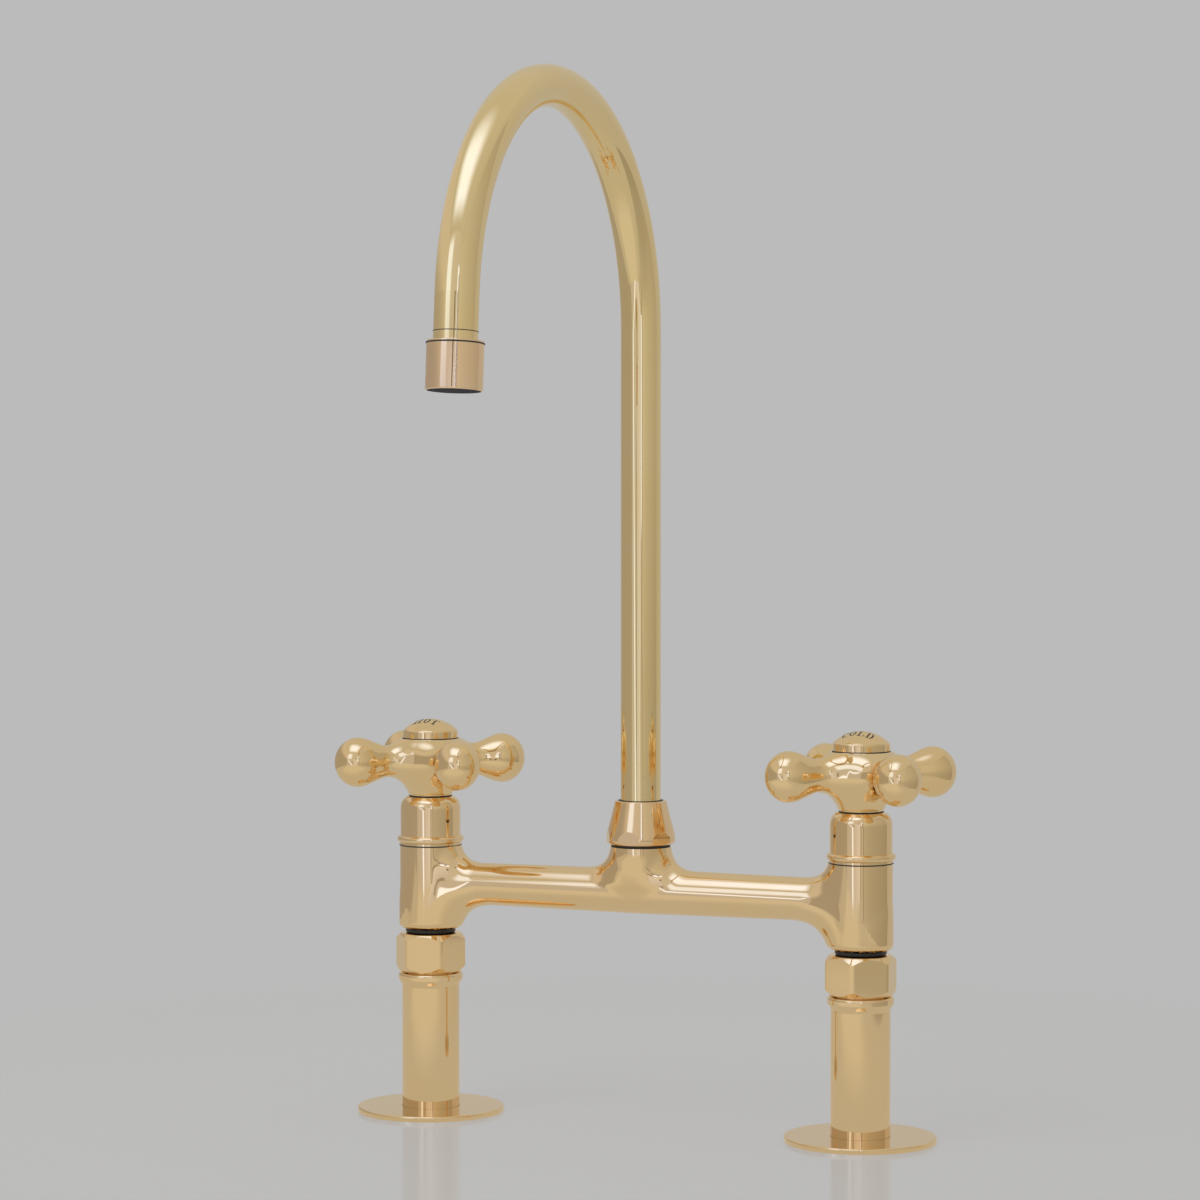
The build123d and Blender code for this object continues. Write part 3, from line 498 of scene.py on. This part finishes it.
def casting(x, y, z):
    """Field of the cast bridge: a cross tube that flows into its neck and both columns."""
    up = z - AXIS_Z
    tube_span = np.hypot(y, up) + TINY
    tube_r = TUBE_END_R + (TUBE_MIDDLE_R - TUBE_END_R) * np.clip(1 - np.abs(x) / TAP_X, 0, 1)
    tube = np.maximum(tube_span - tube_r, np.abs(x) - TAP_X)
    neck_span = np.hypot(x, y) + TINY
    neck = np.maximum(neck_span - curve_through(NECK_SHAPE, up), NECK_SHAPE[0][0] - up)
    facing = np.clip(y**2 / (neck_span * tube_span), 0, 1)
    reach = NECK_FLOW * np.sqrt(1 - facing) * ease(up / (2 * NECK_FADE) + 0.5)
    form = smooth_union(tube, neck, reach)
    column_span = np.hypot(np.abs(x) - TAP_X, y) + TINY
    dip = np.clip((COLUMN_LOW + FOOT_RISE - z) / FOOT_RISE, 0, FOOT_DIP_MOST)
    column = column_span - FOOT_R - (COLUMN_R - FOOT_R) * np.sqrt(1 - dip**2)
    facing = np.clip(y**2 / (column_span * tube_span), 0, 1)
    reach = COLUMN_FLOW_LOW + (COLUMN_FLOW_HIGH - COLUMN_FLOW_LOW) * ease(up / COLUMN_FLOW_FADE + 0.5)
    form = smooth_union(form, column, reach * (1 - facing**2))
    hollow = np.minimum(column_span - COLUMN_BORE_R, np.maximum(neck_span - SOCKET_R, -up))
    return np.maximum(form, -hollow)


def in_middle(place):
    """Whether a place belongs to the neck's part of the casting."""
    return abs(place.x) < CAST_MIDDLE


def at_ends(place):
    """Whether a place belongs to a column's part of the casting."""
    return abs(place.x) > CAST_MIDDLE


def cast_bridge(finishes):
    """Bridge body whose tube, neck and columns flow into each other as in the photograph."""
    reach = TAP_X + COLUMN_R + CAST_SPARE
    deep = COLUMN_R + CAST_SPARE
    low = (-reach, -deep, COLUMN_LOW - CAST_SPARE)
    high = (reach, deep, NECK_HIGH + CAST_SPARE)
    cuts = ((in_middle, NECK_HIGH, True), (at_ends, COLUMN_HIGH, True), (at_ends, COLUMN_LOW, False))
    socket = (SOCKET_R, SOCKET_THREAD_R, NECK_HIGH, SOCKET_HIGH)
    body = formed("cast_bridge", casting, low, high, cuts, [socket])
    body.data.materials.append(finishes["polished_brass"])
    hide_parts("bridge_body")
    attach(body, "bridge")


# ---------------------------------------------------------------- flowing handles
HUB_REACH = 0.0165
# Rows of curve_through: the height above the underside or the way out from the axis, the radius, its slope.
HUB_SHAPE = ((0.0, 0.0094, 0.45), (0.0062, 0.0124, 0.55), (0.0150, 0.0167, 0.0), (HUB_HIGH, 0.0125, -1.3))
ARM_UP = 0.0153
ARM_SHAPE = ((0.0090, 0.0090, -0.34), (0.0195, 0.00685, 0.0), (0.0338, 0.0109, 0.0))
ARM_REACH = 0.0441
ARM_WIDTH_SHARE = 0.9
ARM_FLOW = 0.0065
DIAGONAL = sqrt(0.5)


def handle_form(x, y, z):
    """Field of a cross handle around its own axis, with the height above its underside."""
    hub = np.hypot(x, y) - curve_through(HUB_SHAPE, z)
    first = np.abs(x + y) * DIAGONAL
    second = np.abs(x - y) * DIAGONAL
    out = np.maximum(first, second)
    aside = np.minimum(first, second) / ARM_WIDTH_SHARE
    up = z - ARM_UP
    waist = np.maximum(np.hypot(aside, up) - curve_through(ARM_SHAPE, out), ARM_SHAPE[0][0] - out)
    lobe_at, lobe_r = ARM_SHAPE[-1][:2]
    beyond = (out - lobe_at) / (ARM_REACH - lobe_at)
    lobe = (np.sqrt(beyond**2 + (aside**2 + up**2) / lobe_r**2) - 1) * lobe_r
    return smooth_union(hub, np.where(out > lobe_at, lobe, waist), ARM_FLOW)


def flowing_handle(side, finishes):
    """Cross handle whose arms flow out of the hub."""
    middle_x, middle_y, _ = middle_of(f"{side}_cross_handle")
    reach = ARM_REACH * DIAGONAL + ARM_SHAPE[-1][1] + CAST_SPARE
    start = (middle_x - reach, middle_y - reach, HANDLE_LOW - CAST_SPARE)
    end = (middle_x + reach, middle_y + reach, HANDLE_LOW + HUB_HIGH + CAST_SPARE)

    def at_hub(place):
        return (place.xy - Vector((middle_x, middle_y))).length < HUB_REACH

    def field(x, y, z):
        return handle_form(x - middle_x, y - middle_y, z - HANDLE_LOW)

    cuts = ((at_hub, HANDLE_LOW + HUB_HIGH, True), (at_hub, HANDLE_LOW, False))
    piece = formed(f"{side}_flowing_handle", field, start, end, cuts)
    piece.data.materials.append(finishes["handle_brass"])
    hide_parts(f"{side}_cross_handle")
    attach(piece, f"{side}_handle")


# ---------------------------------------------------------------- dark lines in the joints
SEAM_SIDES = 12
OUTLET = Vector((0.0, -0.19146, 0.3369))
OUTLET_TILT = radians(4.6)
OUTLET_UP = Vector((0.0, sin(OUTLET_TILT), cos(OUTLET_TILT)))
AERATOR_JOINT = -0.0046
AERATOR_SEAM_R = 0.00032
TUBE_SEAM_R = 0.00014

# The seams around a tap's axis, each (radius of the ring, level, radius of the thread). The offsets sink the
# thread into its joint, so that only a thin line of it shows.
CAP_SEAM = (CAP_R - 0.00009, HANDLE_LOW + HUB_HIGH + 0.00015, 0.00028)
HUB_SEAM = (0.00920, HANDLE_LOW - 0.00025, 0.00036)
BONNET_SEAM = (COLUMN_R - 0.00004, COLUMN_HIGH, 0.00030)


def seam(name, centre, axis, ring_r, thread_r, finishes, body):
    """Thin black ring that sits in a joint."""
    turn = axis.to_track_quat("Z", "Y")
    builder = bmesh.new()
    rings = []
    for step in range(TURN_STEPS):
        angle = 2 * pi * step / TURN_STEPS
        ring = []
        for part in range(SEAM_SIDES):
            tilt = 2 * pi * part / SEAM_SIDES
            out = ring_r + thread_r * cos(tilt)
            local = Vector((out * cos(angle), out * sin(angle), thread_r * sin(tilt)))
            ring.append(builder.verts.new(centre + turn @ local))
        rings.append(ring)
    for first, second in zip(rings, rings[1:] + rings[:1]):
        for part in range(SEAM_SIDES):
            after = (part + 1) % SEAM_SIDES
            builder.faces.new((first[part], second[part], second[after], first[after])).smooth = True
    mesh = bpy.data.meshes.new(name)
    builder.to_mesh(mesh)
    builder.free()
    mesh.materials.append(finishes["black_rubber"])
    line = add_object(name, mesh)
    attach(line, body)


def seams(finishes):
    """Lines around the caps, below the handles and bonnets, on the aerator and at the spout's collar."""
    up = Vector((0, 0, 1))
    for side, sign in SIDES.items():
        for label, (ring_r, level, thread_r), body in (
            ("cap", CAP_SEAM, f"{side}_handle"),
            ("hub", HUB_SEAM, "bridge"),
            ("bonnet", BONNET_SEAM, "bridge"),
        ):
            centre = Vector((sign * TAP_X, 0, level))
            seam(f"{side}_{label}_seam", centre, up, ring_r, thread_r, finishes, body)
    joint = OUTLET + OUTLET_UP * AERATOR_JOINT
    seam("aerator_seam", joint, OUTLET_UP, half_width("aerator_housing"), AERATOR_SEAM_R, finishes, "spout")
    seam("collar_seam", OUTLET, OUTLET_UP, half_width("spout_tube"), TUBE_SEAM_R, finishes, "spout")


# ---------------------------------------------------------------- letters, one unit tall
STEM = 0.20
HAIR = 0.075
SERIF = 0.16
BOWL = 0.40
HOOK = 0.28
BAR_STEPS = 6
ARC_STEPS = 28


def bar(left, right, low, high):
    """Upright rectangle as one stroke, cut into short pieces so that it can follow the dome."""
    levels = [low + (high - low) * step / BAR_STEPS for step in range(BAR_STEPS + 1)]
    return [((left, level), (right, level)) for level in levels]


def stem(left, right_serif=SERIF):
    """Thick upright stroke with thin serifs at both ends."""
    strokes = [bar(left, left + STEM, 0.0, 1.0)]
    for low in (0.0, 1.0 - HAIR):
        strokes.append(bar(left - SERIF, left + STEM + right_serif, low, low + HAIR))
    return strokes


def bowl(centre, start, end):
    """Elliptic stroke between two angles in degrees, thick at its sides and thin at top and bottom."""
    stroke = []
    for step in range(ARC_STEPS + 1):
        angle = radians(start + (end - start) * step / ARC_STEPS)
        inner = (centre + (BOWL - STEM) * cos(angle), 0.5 + (0.5 - HAIR) * sin(angle))
        stroke.append((inner, (centre + BOWL * cos(angle), 0.5 + 0.5 * sin(angle))))
    return stroke


def letter_h():
    apart = 0.62
    level = 0.46
    cross = bar(SERIF, SERIF + apart + STEM, level, level + HAIR)
    return [*stem(SERIF), *stem(SERIF + apart), cross], 2 * SERIF + apart + STEM


def letter_o():
    return [bowl(BOWL, 0, 360)], 2 * BOWL


def letter_t():
    middle = 0.42
    left = middle - STEM / 2
    right = middle + STEM / 2
    strokes = [bar(0.0, 2 * middle, 1.0 - HAIR, 1.0)]
    strokes += [bar(hook, hook + HAIR, 1.0 - HOOK, 1.0) for hook in (0.0, 2 * middle - HAIR)]
    strokes += [bar(left, right, 0.0, 1.0), bar(left - SERIF, right + SERIF, 0.0, HAIR)]
    return strokes, 2 * middle


def letter_c():
    mouth = 48
    beak = 1.6 * BOWL
    return [bowl(BOWL, mouth, 360 - mouth), bar(beak, beak + HAIR, 0.62, 0.95)], 1.8 * BOWL


def letter_l():
    width = 0.86
    foot = bar(SERIF, width, 0.0, HAIR)
    return [*stem(SERIF), foot, bar(width - HAIR, width, 0.0, HOOK)], width


def letter_d():
    centre = SERIF + STEM + 0.12
    return [*stem(SERIF, right_serif=0.0), bowl(centre, -90, 90)], centre + BOWL


# ---------------------------------------------------------------- words on the caps
LETTERS = {"H": letter_h, "O": letter_o, "T": letter_t, "C": letter_c, "L": letter_l, "D": letter_d}
LETTER_H = 0.0050
LETTER_W = 0.0035
LETTER_GAP = 0.22
WORD_FRONT = 0.0044
WORD_PROUD = 0.00003
WORD_DEPTH = 0.00025
CAP_DOME_R = 0.01679


def word_strokes(text):
    """Strokes and length of a word, with its letters side by side."""
    strokes = []
    pen = 0.0
    for sign in text:
        shape, width = LETTERS[sign]()
        for stroke in shape:
            strokes.append([[(across + pen, up) for across, up in rung] for rung in stroke])
        pen += width + LETTER_GAP
    return strokes, pen - LETTER_GAP


def word(side, finishes):
    """Black inlaid word that follows the dome of the cap and turns with the handle."""
    centre_x, centre_y, _ = middle_of(f"{side}_index_cap")
    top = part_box(f"{side}_index_cap")[1][2] + WORD_PROUD
    strokes, length = word_strokes(side.upper())
    builder = bmesh.new()
    for stroke in strokes:
        rungs = []
        for rung in stroke:
            ends = []
            for across, up in rung:
                x = (across - length / 2) * LETTER_W
                y = (up - 0.5) * LETTER_H - WORD_FRONT
                sink = CAP_DOME_R - sqrt(CAP_DOME_R**2 - x**2 - y**2)
                ends.append(builder.verts.new((centre_x + x, centre_y + y, top - sink)))
            rungs.append(ends)
        for (left, right), (next_left, next_right) in zip(rungs, rungs[1:]):
            builder.faces.new((left, right, next_right, next_left))
    for face in builder.faces:
        face.normal_update()
        if face.normal.z < 0:
            face.normal_flip()
    mesh = bpy.data.meshes.new(f"{side}_word")
    builder.to_mesh(mesh)
    builder.free()
    mesh.materials.append(finishes["word_black"])
    inlay = add_object(f"{side}_word", mesh)
    thick = inlay.modifiers.new("inlay", "SOLIDIFY")
    thick.thickness = WORD_DEPTH
    thick.offset = -1.0
    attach(inlay, f"{side}_handle")


# ---------------------------------------------------------------- woven mesh in the spout's mouth
MESH_R = 0.0103
MESH_PITCH = 0.0008
WIRE_R = 0.00013
WEAVE_STEPS = 4
MESH_SINK = 0.0003


def woven_mesh(finishes):
    """Crossing wires that pass over and under each other, just below the screen's disc."""
    down = -OUTLET_UP
    across = Vector((1, 0, 0))
    along = down.cross(across)
    start = Vector(middle_of("aerator_screen")) + down * MESH_SINK
    curve = bpy.data.curves.new("woven_mesh", "CURVE")
    curve.dimensions = "3D"
    curve.bevel_depth = WIRE_R
    curve.bevel_resolution = 2
    count = int(MESH_R / MESH_PITCH)
    for phase, (first, second) in enumerate(((across, along), (along, across))):
        for row in range(-count, count + 1):
            reach = sqrt(MESH_R**2 - (row * MESH_PITCH) ** 2)
            steps = max(2, int(2 * reach / MESH_PITCH * WEAVE_STEPS))
            spline = curve.splines.new("POLY")
            spline.points.add(steps)
            for index, point in enumerate(spline.points):
                travel = -reach + 2 * reach * index / steps
                lift = WIRE_R * cos(pi * (travel / MESH_PITCH + row + phase))
                place = start + first * travel + second * (row * MESH_PITCH) + down * lift
                point.co = (*place, 1.0)
    curve.materials.append(finishes["steel_mesh"])
    wires = add_object("woven_mesh", curve)
    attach(wires, "spout")


# ---------------------------------------------------------------- tent that the polished metal reflects
TENT_LEFT = -0.70
TENT_RIGHT = 0.74
TENT_FRONT = -1.20
TENT_LOW = -0.60
TENT_TOP = 1.15
TENT_WIDTH = TENT_RIGHT - TENT_LEFT
FRONT_TOP = 0.55
SIDE_WALL_H = 1.6
COOL = (1.12, 1.28, 1.80)
SHADE = (0.14, 0.12, 0.10)
DIM = (0.36, 0.34, 0.29)
PALE = (0.66, 0.645, 0.64)
CRISP = (0.14, 0.04)
HARD = (0.02, 0.02)
BROAD = (0.05, 0.05)

# Walls that grow brighter upwards: the lower and the upper level, and the strength at each.
WALL_RISE = {"left_wall": (0.38, 0.60, 1.0, 1.55), "right_wall": (0.0, 0.35, 0.86, 1.06)}


def side_wall(name, place, deep, colour, end_colour):
    """Card that stands at one side of the tent, with its end colour at the back."""
    return (name, (place, TENT_FRONT, TENT_LOW), (0, deep, 0), (0, 0, SIDE_WALL_H), colour, end_colour, HARD)


def overhead(name, corner, wide, deep, colour, soft):
    """Level card above the faucet."""
    return (name, corner, (wide, 0, 0), (0, deep, 0), colour, None, soft)


def upright(name, left, width, low, high, colour, end_colour=None, soft=CRISP, nearer=0.02, lean=0.0):
    """Card that stands just inside the tent's front wall. Its top end is shifted sideways by the lean."""
    corner = (left, TENT_FRONT + nearer, low)
    return (name, corner, (width, 0, 0), (lean, 0, high - low), colour, end_colour, soft)


def front_wall(name, left, width, low, high, colour, end_colour, soft=HARD):
    """Part of the front wall itself, with its end colour at the right."""
    return upright(name, left, width, low, high, colour, end_colour, soft, nearer=0.0)


# Each card is (name, corner, first side, second side, colour, colour at the end of the first side,
# softness of the edges along both sides as a share of the card).
CARDS = (
    side_wall("left_wall", TENT_LEFT, 1.8, (0.42, 0.395, 0.36), (0.40, 0.375, 0.35)),
    side_wall("right_wall", TENT_RIGHT, 1.7, (0.60, 0.58, 0.515), (0.42, 0.395, 0.345)),
    overhead("ceiling", (TENT_LEFT, TENT_FRONT, TENT_TOP), TENT_WIDTH, 1.9, (0.59, 0.57, 0.515), BROAD),
    overhead("softbox", (TENT_LEFT - 0.05, -1.10, TENT_TOP - 0.02), 1.2, 1.15, COOL, (0.36, 0.36)),
    front_wall("front_left", TENT_LEFT, 0.56, TENT_LOW, FRONT_TOP, (0.55, 0.54, 0.56), (0.60, 0.59, 0.61)),
    front_wall("front_middle", -0.16, 0.60, TENT_LOW, FRONT_TOP, (0.60, 0.59, 0.61), (0.76, 0.77, 0.875)),
    front_wall("front_right", 0.42, 0.32, TENT_LOW, FRONT_TOP, (0.62, 0.59, 0.545), (0.54, 0.51, 0.475)),
    front_wall("front_over", TENT_LEFT, TENT_WIDTH, 0.52, TENT_TOP, PALE, (0.60, 0.58, 0.545), BROAD),
    upright("arm_glow", -0.74, 0.66, 0.42, 1.12, (0.98, 1.12, 1.50), soft=(0.25, 0.25), nearer=0.01),
    upright("left_strip", -0.03, 0.115, -0.20, 0.42, COOL, soft=(0.16, 0.06), lean=-0.55),
    upright("middle_shade", -0.12, 0.12, 0.03, 0.34, DIM, soft=(0.25, 0.20), lean=-0.04),
    upright("slit", 0.46, 0.18, 0.22, 0.80, COOL, soft=(0.16, 0.05)),
    upright("camera", 0.565, 0.05, 0.11, 0.72, SHADE, soft=(0.15, 0.05), nearer=0.04),
    upright("stand_left", 0.42, 0.035, -0.30, 0.14, SHADE, nearer=0.04, lean=0.05),
    upright("stand_right", 0.70, 0.035, -0.30, 0.14, SHADE, nearer=0.04, lean=-0.04),
    upright("arm_left", 0.22, 0.10, 0.46, 0.60, SHADE, soft=(0.20, 0.20), nearer=0.04),
    upright("arm_right", 0.50, 0.05, 0.46, 0.60, SHADE, soft=(0.20, 0.20), nearer=0.04),
)


def glowing(name, colour, end_colour, soft):
    """Glow that turns from one colour to the other along the card and fades out at its edges."""
    material, tree = new_material(name)
    along, up = tree.split(tree.output("ShaderNodeUVMap"))[:2]
    tint = tree.mix(along, toned(colour), toned(end_colour)) if end_colour else toned(colour)
    masks = [
        tree.smooth(value, low, high)
        for value, edge in zip((along, up), soft)
        for low, high in ((0.0, edge), (1.0, 1.0 - edge))
    ]
    inside = masks[0]
    for mask in masks[1:]:
        inside = tree.math("MULTIPLY", inside, mask)
    strength = 1.0
    if name in WALL_RISE:
        level = tree.split(tree.add("ShaderNodeNewGeometry").outputs["Position"])["Z"]
        strength = tree.smooth(level, *WALL_RISE[name])
    glow = tree.output("ShaderNodeEmission", {"Color": tint, "Strength": strength})
    clear = tree.output("ShaderNodeBsdfTransparent")
    tree.add("ShaderNodeOutputMaterial", {"Surface": tree.mix_shader(inside, clear, glow)})
    return material


def card(name, corner, side, other_side, colour, end_colour, soft):
    """Flat glowing panel that shows only in reflections."""
    start = Vector(corner)
    first = Vector(side)
    second = Vector(other_side)
    mesh = bpy.data.meshes.new(name)
    mesh.from_pydata([start, start + first, start + first + second, start + second], [], [(0, 1, 2, 3)])
    layer = mesh.uv_layers.new(name="card")
    for loop, place in zip(layer.data, ((0, 0), (1, 0), (1, 1), (0, 1))):
        loop.uv = place
    mesh.materials.append(glowing(name, colour, end_colour, soft))
    panel = add_object(name, mesh)
    panel.visible_camera = False
    panel.visible_diffuse = False
    panel.visible_shadow = False
    panel.visible_transmission = False


# ---------------------------------------------------------------- world and lamp
BACKGROUND = (0.497, 0.497, 0.497)
FAR_LOW = (0.515, 0.497, 0.46)
FAR_HIGH = (0.58, 0.56, 0.50)
FAR_RISE = (-0.1, 0.9)
FILL = 0.75
LAMP_PLACE = (-0.5, -0.9, 1.3)
LAMP_AIM = (0, 0, 0.15)
LAMP_SIDE = 1.0
LAMP_POWER = 6.0


def make_world():
    """Even grey for the camera, the tent's far walls for reflections, and plain light for the rest."""
    world = bpy.data.worlds.new("studio")
    bpy.context.scene.world = world
    tree = Tree(world)
    path = tree.add("ShaderNodeLightPath").outputs
    height = tree.split(tree.add("ShaderNodeTexCoord").outputs["Generated"])["Z"]
    far = tree.mix(tree.smooth(height, *FAR_RISE), toned(FAR_LOW), toned(FAR_HIGH))
    tent = tree.output("ShaderNodeBackground", {"Color": far})
    plain = tree.output("ShaderNodeBackground", {"Color": toned(BACKGROUND)})
    fill = tree.output("ShaderNodeBackground", {"Color": (1.0, 1.0, 1.0, 1.0), "Strength": FILL})
    seen = tree.mix_shader(path["Is Camera Ray"], tent, plain)
    lit = tree.mix_shader(path["Is Diffuse Ray"], seen, fill)
    tree.add("ShaderNodeOutputWorld", {"Surface": lit})


def make_lamp():
    """Soft lamp that shades what isn't metal and lays a faint shadow."""
    data = bpy.data.lights.new("softbox_lamp", "AREA")
    data.size = LAMP_SIDE
    data.energy = LAMP_POWER
    lamp = add_object("softbox_lamp", data)
    lamp.location = LAMP_PLACE
    lamp.rotation_euler = (Vector(LAMP_AIM) - lamp.location).to_track_quat("-Z", "Y").to_euler()
    lamp.visible_glossy = False


# ---------------------------------------------------------------- floor
FLOOR_SIDE = 1.6
FLOOR_FRONT = -0.85
FLOOR_FADE = (0.22, 0.55)
FLOOR_MATT = (0.66, 0.66, 0.66)
FLOOR_MATT_SHARE = 0.30
FLOOR_GLOSS = (0.93, 0.945, 1.0)
FLOOR_ROUGHNESS = 0.13
FLOOR_GLOSS_SHARE = 0.24

# The table as the metal reflects it: its colours, with a painted pool of light in front of the faucet, and
# the edges between them as (from, to).
TABLE_NEAR = (0.555, 0.535, 0.484)
TABLE_FAR = (0.52, 0.50, 0.453)
TABLE_FAR_EDGE = (-0.1, 0.5)
# Painted pool of light on the table in front of the faucet: its colour, then its edges.
TABLE_PAINTED_LIGHT = (0.67, 0.646, 0.583)
LIGHT_POOL_LEFT_EDGE = (-0.48, -0.36)
LIGHT_POOL_RIGHT_EDGE = (0.34, 0.14)
LIGHT_POOL_BACK_EDGE = (-0.08, -0.28)
TABLE_RIGHT_EDGE = (0.43, 0.47)


def seen_floor(tree, place, clear):
    """Floor that only takes the shadow and a faint reflection of the faucet, and fades out around it."""
    matt = tree.output("ShaderNodeBsdfDiffuse", {"Color": toned(FLOOR_MATT)})
    gloss = tree.output("ShaderNodeBsdfGlossy", {"Color": toned(FLOOR_GLOSS), "Roughness": FLOOR_ROUGHNESS})
    thin = tree.mix_shader(FLOOR_MATT_SHARE, clear, matt)
    surface = tree.mix_shader(FLOOR_GLOSS_SHARE, thin, gloss)
    reach = tree.add("ShaderNodeVectorMath", {0: place}, operation="LENGTH").outputs["Value"]
    return tree.mix_shader(tree.smooth(reach, *FLOOR_FADE), surface, clear)


def reflected_table(tree, place, clear):
    """Pale glow that stands in for the lit table and ends at the right, with a painted pool of light in
    front of the faucet.
    """
    across, away = tree.split(place)[:2]
    # Mask of the painted pool of light.
    left = tree.smooth(across, *LIGHT_POOL_LEFT_EDGE)
    right = tree.smooth(across, *LIGHT_POOL_RIGHT_EDGE)
    light_pool = tree.math("MULTIPLY", tree.math("MULTIPLY", left, right), tree.smooth(away, *LIGHT_POOL_BACK_EDGE))
    table = tree.mix(tree.smooth(away, *TABLE_FAR_EDGE), toned(TABLE_NEAR), toned(TABLE_FAR))
    glow = tree.output("ShaderNodeEmission", {"Color": tree.mix(light_pool, table, toned(TABLE_PAINTED_LIGHT))})
    return tree.mix_shader(tree.smooth(across, *TABLE_RIGHT_EDGE), glow, clear)


def make_floor():
    """Flat floor, which is one thing to the camera and another to the reflections in the metal."""
    mesh = bpy.data.meshes.new("floor")
    side = FLOOR_SIDE
    corners = [(-side, FLOOR_FRONT, 0), (side, FLOOR_FRONT, 0), (side, side, 0), (-side, side, 0)]
    mesh.from_pydata(corners, [], [(0, 1, 2, 3)])
    material, tree = new_material("floor")
    place = tree.place()
    clear = tree.output("ShaderNodeBsdfTransparent")
    faded = seen_floor(tree, place, clear)
    table = reflected_table(tree, place, clear)
    glossy = tree.add("ShaderNodeLightPath").outputs["Is Glossy Ray"]
    tree.add("ShaderNodeOutputMaterial", {"Surface": tree.mix_shader(glossy, faded, table)})
    mesh.materials.append(material)
    floor = add_object("floor", mesh)


# ---------------------------------------------------------------- the scene
make_camera()
make_world()
make_lamp()
for row in CARDS:
    card(*row)
make_floor()
finishes = make_finishes()
dress_nodes(finishes)
cast_bridge(finishes)
for side in SIDES:
    flowing_handle(side, finishes)
    word(side, finishes)
seams(finishes)
woven_mesh(finishes)
bpy.context.scene.view_settings.view_transform = "Standard"
